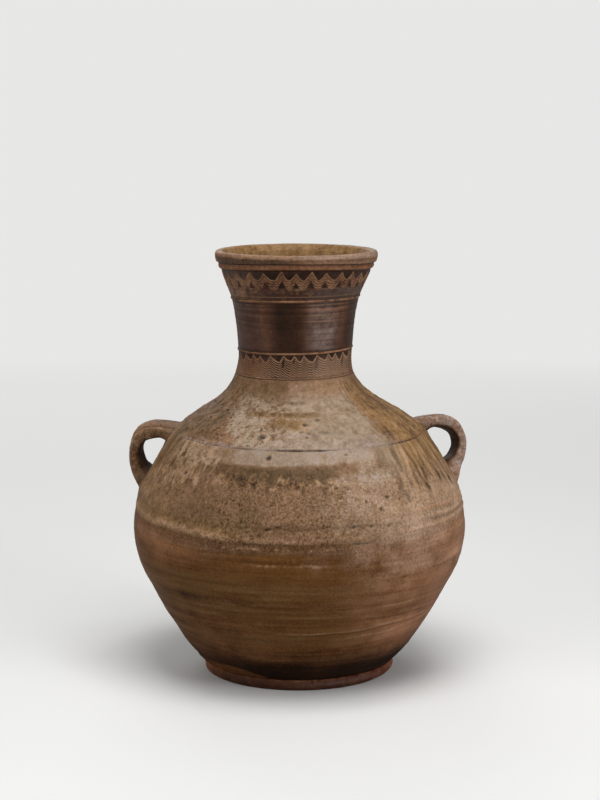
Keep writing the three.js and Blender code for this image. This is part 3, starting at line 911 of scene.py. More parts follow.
class CoatField:
    """The coats on one stretch of the wall, laid down zone by zone."""

    def __init__(self, azimuth: Array, z: Array, p: Array, surface: Surface) -> None:
        """Read the noises that the zones share, and start with bare clay.

        Args:
            azimuth: a row of azimuths.
            z: a column of heights.
            p: the points of the plain profile, which the noise reads.
            surface: the surface that the coats lie on.
        """
        noise = surface.noise
        self.around, self.z, self.p, self.surface = azimuth, z, p, surface
        self.azimuth = surface.fold(azimuth)
        self.noises = {
            "wide": noise.sample(p, 16, 3, 5.0),
            "small": noise.sample(p, 5, 3, 9.0),
            "tiny": noise.sample(p, 2.4, 2, 13.0),
            "sweep": noise.sample(p, (80, 80, 6.0), 3, 2.0),
            "grain": noise.sample(p, *GRAIN),
        }
        self.wide, self.small, self.tiny, self.sweep, _ = self.noises.values()
        self.near_z = z + 2.2 * self.wide + 0.9 * self.small
        self.near_azimuth = self.azimuth + 3.4 * self.wide + 2.4 * self.small
        self.coat: Coats = {kind: np.zeros(p.shape[:-1]) for kind in Coat}

    def put(self, kind: Coat, share: Array) -> None:
        """Keep the larger of what lies there and the new share, or add to the tone."""
        if kind is TONE:
            self.coat[kind] = self.coat[kind] + share
        else:
            self.coat[kind] = np.maximum(self.coat[kind], unit(share))

    def wear(self, kind: Coat, share: Array) -> None:
        """Wear a coat away by a share."""
        self.coat[kind] = self.coat[kind] * (1 - unit(share))

    def wash(self, wash: Wash) -> None:
        """Lay one wash, by the formula that its class gives."""
        turn, height = (self.near_azimuth, self.near_z) if wash.ragged else (self.azimuth, self.z)
        patch = arc(turn, wash.left, wash.right, wash.fade)
        patch = patch * band(height, wash.low, wash.high, wash.soft)
        uneven = wash.base + sum(getattr(wash, name) * noise for name, noise in self.noises.items())
        self.put(wash.coat, wash.strength * patch * uneven)

    def dress(self) -> Coats:
        """Lay every coat from the foot to the lip.

        Returns:
            An array for each coat: shares from 0 to 1, and the tone.
        """
        self.lay_grounds()
        for wash in WASHES:
            self.wash(wash)
        self.lay_olive_band()
        self.lay_side_ash()
        self.mark_lines()
        self.dress_mouth_band()
        self.dress_tube()
        self.dress_collar()
        return self.coat

    def lay_grounds(self) -> None:
        """Lay the bare tan clay, the pale ash on the shoulder and the dark above the foot."""
        a, z, near_a = self.azimuth, self.z, self.near_azimuth
        small, tiny = self.small, self.tiny
        at = (-90, -75, -50, -34, -25, -10, 10, 25, 45, 60, 80, 90)
        edge = (139, 139.4, 136.6, 134, 133, 133.2, 133, 130.5, 130, 133, 138, 138)
        edge = np.interp(a, at, edge)
        body = 1 - ramp(z, 246.4, 247.4)
        self.put(TAN, ramp(self.near_z, edge - 1.6, edge + 1.6) * body)
        left = np.interp(z, (186, 200, 205.2, 222.9, 236), (-26, -27, -30, -48.5, -51))
        right = np.interp(z, (176, 200, 213.2, 223.2, 236), (42, 43, 44.6, 45.5, 47))
        pale = arc(near_a, left, right, 3.6) * ramp(z, 200.0, 200.8)
        pale = pale * (1 - ramp(self.near_z, 229, 240))
        self.put(CREAM, pale * (0.92 + 0.3 * small))
        holes = ramp(-small - 0.7 * tiny, 0.15, 0.8) * (0.14 + 0.86 * arc(a, -60, -8, 12))
        self.wear(CREAM, 0.85 * holes)
        self.put(GLOSS, pale + 0.7 * arc(near_a, -28, 48, 4) * band(self.near_z, 186, 200, 3))
        # Darker towards the foot: the clay's own dark, with painted shade where the wall curves under
        # into the foot.
        foot = 1 - ramp(self.near_z, 18, 46)
        self.put(DARK, foot * (0.96 - 0.3 * arc(a, -100, -45, 20)))
        self.put(RUST, 0.5 * foot)
        self.put(TONE, -0.36 * foot)
        apron = self.surface.foot_apron(self.around, z)
        self.wear(DARK, apron)
        self.put(TONE, -0.1 * apron)
        self.put(RUST, apron * (0.5 + 0.4 * small + 0.2 * arc(a, -100, -46, 10)))
        self.put(GLOSS, 0.55 * band(z, 24, 127, 8))

    def lay_olive_band(self) -> None:
        """Lay the olive ash under the pale band, with its ruffled lower edge."""
        z, near_a, wide, small, tiny = self.z, self.near_azimuth, self.wide, self.small, self.tiny
        flow = self.surface.drawn_noise(self.p, z, 5.0, 60, 27.4)
        edge = 178.5 - 4.5 * flow - 1.6 * tiny
        olive = arc(near_a, -40, 16, 4) + 0.6 * arc(near_a, -78, -40, 4)
        olive = olive * ramp(z, edge - 1.0, edge + 1.6)
        olive = olive * (1 - ramp(z + 1.6 * wide, 185.5, 190))
        self.put(OLIVE, olive * (0.74 + 0.5 * small + 0.3 * wide))
        ruffle = arc(near_a, -34, 17, 5) * bell(z - edge + 1.4, 1.3)
        self.put(GOLD, ruffle * ramp(tiny + 0.6 * small, -0.2, 0.5) * 0.8)
        self.put(PALE, ruffle * ramp(tiny + 0.4 * small, 0.2, 0.8) * 0.5)
        self.put(DARK, 0.16 * olive * ramp(-small - 0.5 * tiny, 0.1, 0.8))
        self.put(GLOSS, 0.6 * olive)

    def lay_side_ash(self) -> None:
        """Lay the golden runs and lumps at the sides, with their dark lines and drops."""
        a, z, surface = self.azimuth, self.z, self.surface
        wide, small, tiny = self.wide, self.small, self.tiny
        flow, streak = (surface.drawn_noise(self.p, z, *pattern) for pattern in (FLOW, STREAKS))
        zone = surface.run_zone(self.around, z, flow)
        left, right = arc(a, -140, -46, 12), arc(a, 46, 140, 10)
        peaks = 0.5 * flow + 0.7 * streak
        crests = ramp(peaks + 0.4 * wide, -0.5, 0.3)
        self.put(GOLD, zone * (0.55 * left + right) * crests * 0.85)
        valleys = ramp(-peaks, 0.0, 0.55)
        self.put(OLIVE, zone * valleys * (0.25 + 0.5 * right + 0.35 * left))
        self.put(CREAM, zone * ramp(peaks - 0.5 * small, 0.1, 0.8) * 0.7)
        self.put(PALE, zone * ramp(streak + 0.3 * small, 0.3, 0.8) * (0.6 - 0.25 * left))
        self.put(TONE, zone * (0.3 * peaks + 0.12 * left * tiny))
        lumpy = surface.side_share(self.around) * band(self.near_z, 199.8, 241, 2.5)
        knobs = 0.4 * surface.noise.sample(self.p, *LUMPS) + 0.55 * streak + 0.3 * tiny
        crests = ramp(knobs + 0.5 * wide, -0.6, 0.3)
        self.put(GOLD, lumpy * (0.3 * left + right) * crests * 0.78)
        valleys = ramp(-knobs - 0.3 * wide, 0.0, 0.6)
        self.put(OLIVE, lumpy * valleys * (0.5 + 0.12 * left))
        self.put(PALE, lumpy * ramp(knobs, 0.3, 0.9) * 0.36)
        self.put(TONE, lumpy * (0.1 * knobs + 0.12 * streak - 0.04))
        dark, _, violet = surface.run_fields(self.around, z)
        self.put(OLIVE, 1.2 * dark)
        self.put(DARK, (dark - 0.06) * (1.05 + 0.35 * small) * band(z, 155, 199.5, 0.6))
        self.put(VIOLET, violet)
        self.put(GLOSS, 0.5 * zone + 0.2 * lumpy)

    def mark_lines(self) -> None:
        """Mark the incised line, the ledges, the scratches and the pits."""
        z, small, sweep = self.z, self.small, self.sweep
        strength = self.surface.line_strength(self.around)
        broken = 0.9 + 0.7 * small + 0.3 * self.wide
        self.put(DARK, bell(z - 199.6, 0.22 + 0.27 * strength) * strength * broken)
        self.put(VIOLET, 0.7 * bell(z - 199.9, 0.8) * arc(self.azimuth, -70, 50, 10))
        for ledge in LEDGES:
            if ledge.coat:
                share = self.surface.ledge_share(ledge, self.around, z)
                self.put(ledge.coat, share * ledge.strength * (0.9 + 0.5 * sweep + 0.5 * small))
        fine = self.surface.noise.sample(self.p, (70, 70, 0.9), 2, 17.0)
        scratch = ramp(fine, 0.35, 0.85)
        self.put(PALE, 0.13 * scratch * band(z, 26, 98, 10))
        self.put(VIOLET, 0.6 * scratch * arc(self.azimuth, -14, 46, 10) * band(z, 200.5, 216, 2))
        _, dark, pale = self.surface.pit_fields(self.around, z)
        self.put(DARK, dark * 0.85)
        self.put(PALE, 0.5 * pale * band(z, 150, 240, 5))
        for level, half, share in NECK_LINES:
            self.put(DARK, share * bell(z - level, half))

    def dress_mouth_band(self) -> None:
        """Coat the combed band under the lip, the strip under it and the fillet over it."""
        a, z, small, tiny, sweep = self.azimuth, self.z, self.small, self.tiny, self.sweep
        lines, over, pool = self.surface.upper_waves(self.around, z)
        blurred = arc(a, -120, -31, 7)
        mouth = band(z, 319.4, 333.6, 0.3)
        between, under = mouth * (1 - lines), 1 - over
        self.put(PALE, mouth * lines * (0.52 + 0.4 * small - 0.2 * blurred))
        toned = mouth * (0.2 * tiny + 0.1 * arc(a, 24, 90, 10))
        self.put(TONE, toned - 0.14 * band(z, 319, 338, 1) * arc(a, -80, 6, 10))
        self.put(PALE, mouth * under * (1 - pool) * (0.16 + 0.25 * small + 0.3 * blurred))
        rusty = lines * (0.75 + 0.4 * small) + 0.2 * under * ramp(tiny, 0.1, 0.7)
        self.put(RUST, mouth * rusty)
        self.put(DARK, between * over * (0.72 - 0.25 * blurred + 0.3 * small + 0.25 * tiny))
        self.put(DARK, between * pool * (0.75 + 0.3 * small - 0.4 * blurred))
        self.put(DARK, between * under * (0.24 - 0.22 * blurred))
        self.put(VIOLET, 0.3 * between * over * blurred)
        patches = arc(a, -24, 8, 3) * bell(z - 319.0, 1.0) * ramp(small + sweep, -0.2, 0.5)
        self.put(PALE, 0.75 * patches)
        strip = band(z, 310.8, self.surface.mouth_band[0], 0.6)
        drawn = ramp(sweep + tiny, 0.0, 0.9)
        self.put(DARK, strip * (0.3 + 0.3 * small) * (1 - 0.8 * blurred))
        self.put(PALE, strip * (0.35 * drawn + blurred * (0.25 + 0.3 * small)))
        self.put(RUST, strip * (0.25 * drawn + 0.3 * blurred * ramp(small, -0.2, 0.6)))
        self.put(VIOLET, 0.3 * strip * arc(a, 14, 70, 12))
        self.put(PALE, 0.7 * bell(z - 313.4 - 0.3 * sweep, 0.45) * (0.7 + 0.6 * small))
        fillet = band(z, 334.9, 337.4, 0.3) + 0.55 * band(z, 337.4, 338.9, 0.2)
        self.put(PALE, fillet * (0.24 + 0.3 * small) * (1 - 0.7 * arc(a, 58, 66, 1.5)))
        self.put(RUST, fillet * (0.55 + 0.2 * tiny) + 0.9 * bell(a - 62, 3.5) * bell(z - 336.6, 1.4))
        shadow = 0.8 + 0.5 * small - 0.4 * arc(a, 30, 90, 10)
        self.put(DARK, 0.9 * bell(z - 339.3, 0.4) * shadow)

    def dress_tube(self) -> None:
        """Coat the plain tube: warm dark streaks in front, a painted highlight, painted shade at its
        right edge and fine rings.
        """
        a, z, wide, small = self.azimuth, self.z, self.wide, self.small
        tube = band(z, 268.6, 309.0, 0.5)
        self.put(GLOSS, tube + band(z, 248, 334, 1) * 0.35)
        front = 0.82 * arc(a, -24, 10, 11) * (0.9 + 0.12 * wide)
        # The share from 54 to 120 degrees is painted shade that dims the tube's glossy right edge.
        self.put(DARK, tube * (front + 0.1 + 0.2 * unit(-wide) + 0.62 * arc(a, 54, 120, 8)))
        rings = self.surface.noise.sample(self.p, (120, 120, 1.3), 2, 19.0)
        # A painted highlight: a bluish band right of the front, and a trace of it on the left.
        painted_highlight = 0.4 * arc(a, 12, 42, 9) + 0.04 * arc(a, -110, -30, 14)
        self.put(VIOLET, tube * painted_highlight * (1 + 0.45 * small + 0.5 * rings))
        flecks = 0.25 * ramp(small + 0.5 * self.tiny, 0.5, 1.0)
        self.put(RUST, tube * (0.22 + flecks) * arc(a, -34, 10, 9))
        self.put(RUST, tube * 0.2 * arc(a, 48, 120, 8))
        self.put(RUST, 0.32 * band(z, 292, 307, 3) * arc(a, -16, 64, 10) * ramp(rings, -0.3, 0.5))
        fine = sum(share * bell(z - level, half) for level, half, share in TUBE_RINGS)
        self.put(PALE, tube * 0.42 * fine * (0.7 + 0.6 * small))
        turned = rings * (0.07 + 0.15 * ramp(z, 274, 296))
        sides = 0.12 * arc(a, -110, -50, 12) - 0.08 * arc(a, -26, 6, 9)
        self.put(TONE, tube * (turned + 0.13 * small + sides))

    def dress_collar(self) -> None:
        """Coat the combed collar above the neck's foot."""
        a, z, small = self.azimuth, self.z, self.small
        lines, above, gaps = self.surface.lower_waves(self.around, z)
        collar = band(z, 248.2, 266.8, 0.4)
        clarity = self.surface.comb_clarity(self.around)
        low = 1 - ramp(z, 248, 258)
        under = collar * (1 - above)
        violet = arc(a, 4, 64, 10)
        bright = 0.3 + 0.65 * clarity + 0.3 * small + 0.3 * arc(a, 18, 70, 8)
        self.put(PALE, collar * lines * bright)
        worn = 0.24 * low + 0.04 * (1 - clarity) + 0.2 * violet + 0.3 * self.wide
        self.put(PALE, under * worn)
        self.put(RUST, collar * lines * (0.85 - 0.35 * violet))
        self.put(RUST, 0.4 * under * (1 - clarity) * ramp(small, -0.4, 0.5))
        depth = 0.28 + 0.66 * clarity + 0.3 * small
        self.put(DARK, under * (1 - lines) * depth * (1 - 0.2 * low - 0.16 * violet))
        self.put(DARK, under * gaps * (0.5 + 0.3 * clarity + 0.4 * small))
        self.put(DARK, collar * above * (0.7 + 0.5 * small) * unit(1 - 1.2 * lines))
        bloom = 0.5 * violet * under * band(z, 250, 263, 2)
        self.put(VIOLET, bloom * (0.8 + 0.6 * small) * (1 - 0.7 * lines))
        foot_line = 0.6 * bell(z - 248.2, 0.6)
        self.put(RUST, foot_line * (0.35 + 0.6 * small + bell(a + 32, 9)))
        self.put(PALE, foot_line)
        shadow = 0.5 + 0.7 * arc(a, -60, 10, 15) + 0.5 * small
        self.put(DARK, 0.55 * bell(z - 247.1, 0.35) * shadow)


def coat_inside(noise: ClayNoise, p: Array, z: Array) -> Coats:
    """Coats of the inner wall: bare clay, with ash and dark specks towards the mouth.

    Args:
        noise: the noise of the clay.
        p: points of the inner wall.
        z: a column of heights.

    Returns:
        The share of each coat that the inner wall has.
    """
    wide = noise.sample(p, 14, 3, 51.0)
    small = noise.sample(p, 4.0, 3, 53.0)
    drips = noise.sample(p, (6, 6, 40), 2, 55.0)
    mouth = ramp(z, 270, 325)
    right = ramp(p[..., 0], -18, 14)
    ash = ramp(wide + 0.6 * small + 0.5 * drips, -0.2, 0.7)
    specks = ramp(small - 0.4 * wide, 0.2, 0.8)
    return {
        INSIDE: 1.0,
        OLIVE: mouth * (0.2 + 0.8 * right) * ash,
        DARK: 0.3 * (1 - mouth) + 0.4 * mouth * specks,
        RUST: 0.35 * mouth * (1 - right) * ramp(small - wide, -0.1, 0.6),
        TONE: mouth * (0.3 * small + 0.15 * drips),
        GRIT: 0.4,
    }


# Meshes


def make_object(
    name: str,
    vertices: Array,
    faces: list[Array],
    coats: Coats,
    ring_size: int = 0,
    sharp_rings: tuple[int, ...] = (),
) -> Piece:
    """Put vertices, faces and coats into a new object at the origin.

    Args:
        name: name of the piece.
        vertices: places in millimetres, one row each.
        faces: arrays of vertex numbers, one array for each number of corners.
        coats: one value for each vertex, by the name of the coat.
        ring_size: how many vertices a ring has, if rings are to be sharp.
        sharp_rings: numbers of the rings along which the shading breaks.

    Returns:
        The object, linked to the scene.
    """
    mesh = bpy.data.meshes.new(name)
    mesh.vertices.add(len(vertices))
    mesh.vertices.foreach_set("co", (vertices * METRES_PER_MM).astype(np.float32).ravel())
    corners = np.concatenate([group.ravel() for group in faces]).astype(np.int32)
    totals = np.concatenate([np.full(len(group), group.shape[1]) for group in faces]).astype(np.int32)
    starts = np.concatenate([[0], np.cumsum(totals)[:-1]]).astype(np.int32)
    mesh.loops.add(len(corners))
    mesh.loops.foreach_set("vertex_index", corners)
    mesh.polygons.add(len(totals))
    mesh.polygons.foreach_set("loop_start", starts)
    mesh.polygons.foreach_set("loop_total", totals)
    mesh.polygons.foreach_set("use_smooth", np.ones(len(totals), bool))
    mesh.update(calc_edges=True)
    if sharp_rings:
        ends = np.zeros(len(mesh.edges) * 2, np.int32)
        mesh.edges.foreach_get("vertices", ends)
        rings = ends.reshape(-1, 2) // ring_size
        sharp = (rings[:, 0] == rings[:, 1]) & np.isin(rings[:, 0], sharp_rings)
        mesh.edges.foreach_set("use_edge_sharp", sharp)
    for kind in Coat:
        layer = mesh.attributes.new(kind.value, "FLOAT", "POINT")
        if kind in coats:
            layer.data.foreach_set("value", coats[kind].astype(np.float32))
    mesh.validate()
    piece = bpy.data.objects.new(name, mesh)
    bpy.context.scene.collection.objects.link(piece)
    return piece


def ring_faces(rings: int, size: int, closed: bool) -> Array:
    """Join rings of vertices with four-sided faces.

    Args:
        rings: how many rings there are.
        size: how many vertices each ring has.
        closed: whether the last ring joins the first.

    Returns:
        Four vertex numbers for each face, counterclockwise seen from outside when the
        rings run to the right and follow each other upwards.
    """
    last = rings if closed else rings - 1
    row = np.arange(last)[:, None]
    column = np.arange(size)[None, :]
    right = (column + 1) % size
    above = (row + 1) % rings
    quads = [row * size + column, row * size + right, above * size + right, above * size + column]
    return np.stack(np.broadcast_arrays(*quads), axis=-1).reshape(-1, 4)


def fan_faces(ring: int, size: int, pole: int, upwards: bool) -> Array:
    """Close a ring with a fan round its pole.

    Args:
        ring: number of the ring.
        size: how many vertices it has.
        pole: number of the pole's vertex.
        upwards: whether the fan faces up, over the last ring.

    Returns:
        Three vertex numbers for each face.
    """
    column = np.arange(size)
    here, right = ring * size + column, ring * size + (column + 1) % size
    middle = np.full(size, pole)
    order = (here, right, middle) if upwards else (right, here, middle)
    return np.stack(order, axis=-1)


def clay_object(
    name: str,
    runs: list[tuple[Array, Coats]],
    sharp_rings: tuple[int, ...] = (),
    poles: Array | None = None,
    pole_coats: Coats | None = None,
) -> Piece:
    """Join runs of rings into a closed piece, end to end or with a fan at each end.

    Args:
        name: name of the piece.
        runs: the points of each run of rings, and the coats on them.
        sharp_rings: numbers of the rings along which the shading breaks.
        poles: the points that close the first ring and the last one. Without them the
            last ring joins the first.
        pole_coats: the coats on the poles.

    Returns:
        The object.
    """
    rows = np.concatenate([points for points, _ in runs])
    count, size = rows.shape[:2]
    vertices = rows.reshape(-1, 3)
    faces = [ring_faces(count, size, poles is None)]
    dressed = [(coats, points.shape[:2]) for points, coats in runs]
    if poles is not None:
        vertices = np.concatenate([vertices, poles])
        dressed.append((pole_coats, (len(poles),)))
        faces.append(fan_faces(0, size, count * size, False))
        faces.append(fan_faces(count - 1, size, count * size + 1, True))
    joined = {}
    for kind in Coat:
        shares = [np.broadcast_to(part.get(kind, 0), shape).ravel() for part, shape in dressed]
        joined[kind] = np.concatenate(shares)
    return make_object(name, vertices, faces, joined, size, sharp_rings)


# Finishes


def to_linear(hex_colour: str) -> Colour:
    """Turn a hex colour into the linear values that a shader socket takes."""
    parts = (int(hex_colour[i : i + 2], 16) / 255 for i in (1, 3, 5))
    return (*(c / 12.92 if c <= 0.04045 else ((c + 0.055) / 1.055) ** 2.4 for c in parts), 1.0)


@dataclass(frozen=True)
class CoatColours:
    """Colours of the coats, from the clay outwards."""

    red_clay: str = "#8a5f43"
    tan_clay: str = "#785a40"
    cream_ash: str = "#927e68"
    golden_ash: str = "#84643c"
    olive_slip: str = "#4f3a20"
    violet_bloom: str = "#8c7a70"
    rust_edge: str = "#96603c"
    pale_line: str = "#9c7a5c"
    dark_pool: str = "#24150b"
    inner_wall: str = "#84643f"


@dataclass(frozen=True)
class ClayFinish:
    """One fired finish: its slot, the clay's own colour, and how coats and grain show."""

    slot: str
    clay: str
    colours: CoatColours = CoatColours()
    grain: float = 0.7
    mottle: float = 0.5
    specks: float = 0.4
    dull: float = 0.66
    shiny: float = 0.42
    bump: float = 0.6
    shine: float = 0.17


@dataclass(frozen=True)
class FinishSet:
    """The finishes of the jar, one for each material slot of the record."""

    foot: ClayFinish = ClayFinish("foot_clay", "#4e2419", grain=0.5, specks=0.3, dull=0.58, shine=0.12)
    lower: ClayFinish = ClayFinish("lower_clay", "#64411e", shine=0.08)
    bare_tan: ClayFinish = ClayFinish("bare_tan_clay", "#5f4126")
    runs: ClayFinish = ClayFinish("glaze_runs", "#5f4126")
    ash: ClayFinish = ClayFinish("ash_glaze", "#5f4126")
    neck: ClayFinish = ClayFinish(
        "neck_clay", "#4b3127", dull=0.55, shiny=0.36, grain=0.45, specks=0.2, shine=0.14
    )
    lip: ClayFinish = ClayFinish("lip_clay", "#84644b", dull=0.55, grain=0.55, specks=0.3)
    cord: ClayFinish = ClayFinish("cord_clay", "#70503a", dull=0.55, grain=0.5, specks=0.2)
    loop: ClayFinish = ClayFinish("loop_clay", "#75593f", dull=0.62, grain=0.75, specks=0.5)


class NodeWriter:
    """Adds nodes to a tree and feeds them in short calls."""

    def __init__(self, tree: bpy.types.NodeTree) -> None:
        """Keep the tree that the nodes go into."""
        self.tree = tree

    def feed(self, target: Socket, value: object) -> None:
        """Link a socket to an input, or set the input's own value."""
        if isinstance(value, Socket):
            self.tree.links.new(value, target)
        else:
            target.default_value = value

    def add(self, kind: str, inputs: dict | None = None, **settings: object) -> bpy.types.Node:
        """Add a node.

        Args:
            kind: the node's type, without the words that every shader node has.
            inputs: what is fed to its inputs, by name or number.
            settings: values of its other properties.

        Returns:
            The node.
        """
        node = self.tree.nodes.new("ShaderNode" + kind)
        for key, value in settings.items():
            setattr(node, key, value)
        for key, value in (inputs or {}).items():
            self.feed(node.inputs[key], value)
        return node

    def group(self, tree: bpy.types.NodeTree, **inputs: object) -> bpy.types.NodeOutputs:
        """Place a shared group, feed its named inputs and return its outputs."""
        return self.add("Group", inputs, node_tree=tree).outputs

    def math(self, operation: str, *values: object, clamp: bool = False) -> Socket:
        """Add a Math node and return its value."""
        node = self.add("Math", dict(enumerate(values)), operation=operation, use_clamp=clamp)
        return node.outputs[0]

    def product(self, value: Socket, *factors: object) -> Socket:
        """Multiply a value by some factors, one after another."""
        for factor in factors:
            value = self.math("MULTIPLY", value, factor)
        return value

    def total(self, value: Socket, *others: object) -> Socket:
        """Add others to a value, one after another."""
        for other in others:
            value = self.math("ADD", value, other)
        return value

    def mix(self, factor: object, first: object, second: object) -> Socket:
        """Mix two colours by a factor and return the colour."""
        return self.add("Mix", {0: factor, 6: first, 7: second}, data_type="RGBA").outputs[2]

    def place(self) -> Socket:
        """Place on the object, in metres."""
        return self.add("TexCoord").outputs["Object"]

    def stretched(self, place: Socket, scale: tuple[float, float, float]) -> Socket:
        """Scale a place in each direction."""
        return self.add("Mapping", {"Vector": place, "Scale": scale}).outputs[0]

    def noise(self, place: Socket, scale: float, detail: float = 2.0) -> Socket:
        """Add a Noise node and return its value."""
        inputs = {"Vector": place, "Scale": scale, "Detail": detail, "Roughness": 0.6}
        return self.add("TexNoise", inputs).outputs[0]


class ShaderGroups:
    """The node groups that the jar's materials share, each built once."""

    number = "NodeSocketFloat"
    colour = "NodeSocketColor"
    grey: Colour = (0.5, 0.5, 0.5, 1.0)

    def __init__(self) -> None:
        """Build every group."""
        self.coat = self.build_coat()
        self.grain = self.build_grain()
        self.specks = self.build_specks()

    def start(
        self, name: str, inputs: dict[str, float | Colour], outputs: dict[str, str]
    ) -> tuple[NodeWriter, bpy.types.NodeOutputs, bpy.types.NodeInputs]:
        """Make an empty group with named sockets.

        Args:
            name: name of the group.
            inputs: value of each input, by name.
            outputs: type of each output, by name.

        Returns:
            A writer for the group's tree, what comes into it and what it gives.
        """
        tree = bpy.data.node_groups.new(name, "ShaderNodeTree")
        for label, value in inputs.items():
            kind = self.colour if isinstance(value, tuple) else self.number
            socket = tree.interface.new_socket(name=label, in_out="INPUT", socket_type=kind)
            socket.default_value = value
        for label, kind in outputs.items():
            tree.interface.new_socket(name=label, in_out="OUTPUT", socket_type=kind)
        come, give = tree.nodes.new("NodeGroupInput"), tree.nodes.new("NodeGroupOutput")
        return NodeWriter(tree), come.outputs, give.inputs

    def build_coat(self) -> bpy.types.NodeTree:
        """Lay one coat on a colour, with an edge that the clay's tooth makes ragged.

        Returns:
            The group.
        """
        inputs = {"Under": self.grey, "Coat": self.grey, "Share": 0.0, "Tooth": 0.0}
        writer, come, give = self.start("ragged_coat", inputs, {"Colour": self.colour})
        around = writer.math("SUBTRACT", come["Tooth"], 0.5)
        room = writer.product(come["Share"], writer.math("SUBTRACT", 1.0, come["Share"]))
        ragged = writer.product(around, room, 4.2)
        factor = writer.math("ADD", come["Share"], ragged, clamp=True)
        writer.feed(give["Colour"], writer.mix(factor, come["Under"], come["Coat"]))
        return writer.tree

    def build_grain(self) -> bpy.types.NodeTree:
        """Vary a colour by grain, mottling, streaks and tone, and give their height.

        Each noise, less its middle, is multiplied by its gain and by an input. Green and
        blue change more than red, so that the surface is warmer where it is darker and
        greyer where it is lighter.

        Returns:
            The group.
        """
        writer, come, give = self.start(
            "fired_grain",
            {"Colour": self.grey, "Grain": 0.5, "Mottle": 0.5, "Streak": 0.5, "Tone": 0.5},
            {"Colour": self.colour, "Height": self.number, "Tooth": self.number},
        )
        place = writer.place()
        fine = writer.noise(place, 640.0)
        middle = writer.noise(place, 400.0, 3.0)
        broad = writer.noise(place, 42.0, 3.0)
        drawn = writer.noise(writer.stretched(place, (14.0, 14.0, 420.0)), 1.0, 3.0)
        tilted = writer.noise(writer.stretched(place, (30.0, 30.0, 130.0)), 1.0)
        swings = (
            (fine, 2.5, "Grain"), (middle, 1.5, "Grain"), (broad, 0.8, "Mottle"),
            (middle, 0.5, "Mottle"), (drawn, 0.8, "Streak"), (tilted, 0.35, "Streak"),
        )
        changes = [
            writer.product(writer.math("SUBTRACT", noise, 0.5), gain, come[name])
            for noise, gain, name in swings
        ]
        level = writer.math("MAXIMUM", writer.total(*changes, come["Tone"], 1.0), 0.25)
        powers = [writer.math("POWER", level, power) for power in (1.0, 1.15, 1.45)]
        scale = writer.add("CombineXYZ", dict(enumerate(powers))).outputs[0]
        scaled = writer.add("VectorMath", {0: come["Colour"], 1: scale}, operation="MULTIPLY")
        writer.feed(give["Colour"], scaled.outputs[0])
        heights = ((fine, 0.5), (middle, 0.8), (drawn, 0.5))
        writer.feed(give["Height"], writer.total(*(writer.product(*part) for part in heights)))
        teeth = ((fine, 0.4), (middle, 0.6))
        writer.feed(give["Tooth"], writer.total(*(writer.product(*part) for part in teeth)))
        return writer.tree

    def build_specks(self) -> bpy.types.NodeTree:
        """Scatter iron specks: small dark dots round random points, some larger than others.

        Returns:
            The group.
        """
        writer, come, give = self.start(
            "iron_specks",
            {"Colour": self.grey, "Speck": (0.02, 0.015, 0.01, 1.0), "Amount": 0.4},
            {"Colour": self.colour, "Mask": self.number},
        )
        place = writer.place()
        masks = []
        for scale, reach in ((300.0, 0.16), (720.0, 0.22)):
            cells = writer.add("TexVoronoi", {"Scale": scale, "Vector": place}).outputs
            chance = writer.add("SeparateColor", {0: cells["Color"]}).outputs[0]
            size = writer.product(writer.math("POWER", chance, 3.0), reach * 1.6)
            dot = writer.math("SUBTRACT", size, cells["Distance"])
            masks.append(writer.math("MULTIPLY", dot, 16.0, clamp=True))
        mask = writer.math("MULTIPLY", writer.math("MAXIMUM", *masks), come["Amount"], clamp=True)
        writer.feed(give["Colour"], writer.mix(mask, come["Colour"], come["Speck"]))
        writer.feed(give["Mask"], mask)
        return writer.tree


@dataclass
class MaterialMaker:
    """Builds a material from a finish, with the shared groups and the coats' attributes."""

    groups: ShaderGroups = field(default_factory=ShaderGroups)
    made: dict[str, bpy.types.Material] = field(default_factory=dict)

    def share(self, writer: NodeWriter, kind: Coat) -> Socket:
        """Read a coat's share from the mesh."""
        return writer.add("Attribute", attribute_name=kind.value).outputs["Fac"]

    def make(self, finish: ClayFinish) -> bpy.types.Material:
        """Build the material of a finish once, and give the same one after that.

        Args:
            finish: the finish to build.

        Returns:
            The material: coats laid on the clay one after another, then grain and
            specks, with roughness from the gloss and a bump from the grain.
        """
        if finish.slot in self.made:
            return self.made[finish.slot]
        material = bpy.data.materials.new(finish.slot)
        material.use_nodes = True
        writer = NodeWriter(material.node_tree)
        tooth = writer.noise(writer.place(), 520.0, 3.0)
        colour: object = to_linear(finish.clay)
        for layer in fields(finish.colours):
            laid = writer.group(
                self.groups.coat,
                Under=colour,
                Coat=to_linear(getattr(finish.colours, layer.name)),
                Share=self.share(writer, Coat(layer.name)),
                Tooth=tooth,
            )
            colour = laid["Colour"]
        grit, gloss, streak, tone = (self.share(writer, kind) for kind in (GRIT, GLOSS, STREAK, TONE))
        plain = writer.math("MULTIPLY_ADD", gloss, -0.18, finish.grain * 0.5)
        grain = writer.group(
            self.groups.grain,
            Colour=colour,
            Grain=writer.math("MULTIPLY_ADD", grit, 0.6, plain),
            Mottle=finish.mottle,
            Streak=streak,
            Tone=tone,
        )
        amount = writer.math("MULTIPLY_ADD", grit, 0.2, finish.specks * 0.6)
        specks = writer.group(self.groups.specks, Colour=grain["Colour"], Amount=amount)
        rough = writer.math("MULTIPLY_ADD", gloss, finish.shiny - finish.dull, finish.dull)
        uneven = writer.math("MULTIPLY_ADD", grain["Tooth"], 0.22, -0.11)
        depth = writer.math("SUBTRACT", grain["Height"], specks["Mask"])
        bump = writer.add("Bump", {"Strength": finish.bump, "Distance": 0.0004, "Height": depth})
        shader = material.node_tree.nodes["Principled BSDF"].inputs
        writer.feed(shader["Base Color"], specks["Colour"])
        writer.feed(shader["Roughness"], writer.math("ADD", rough, uneven, clamp=True))
        writer.feed(shader["Normal"], bump.outputs["Normal"])
        shader["Specular IOR Level"].default_value = finish.shine
        self.made[finish.slot] = material
        return material


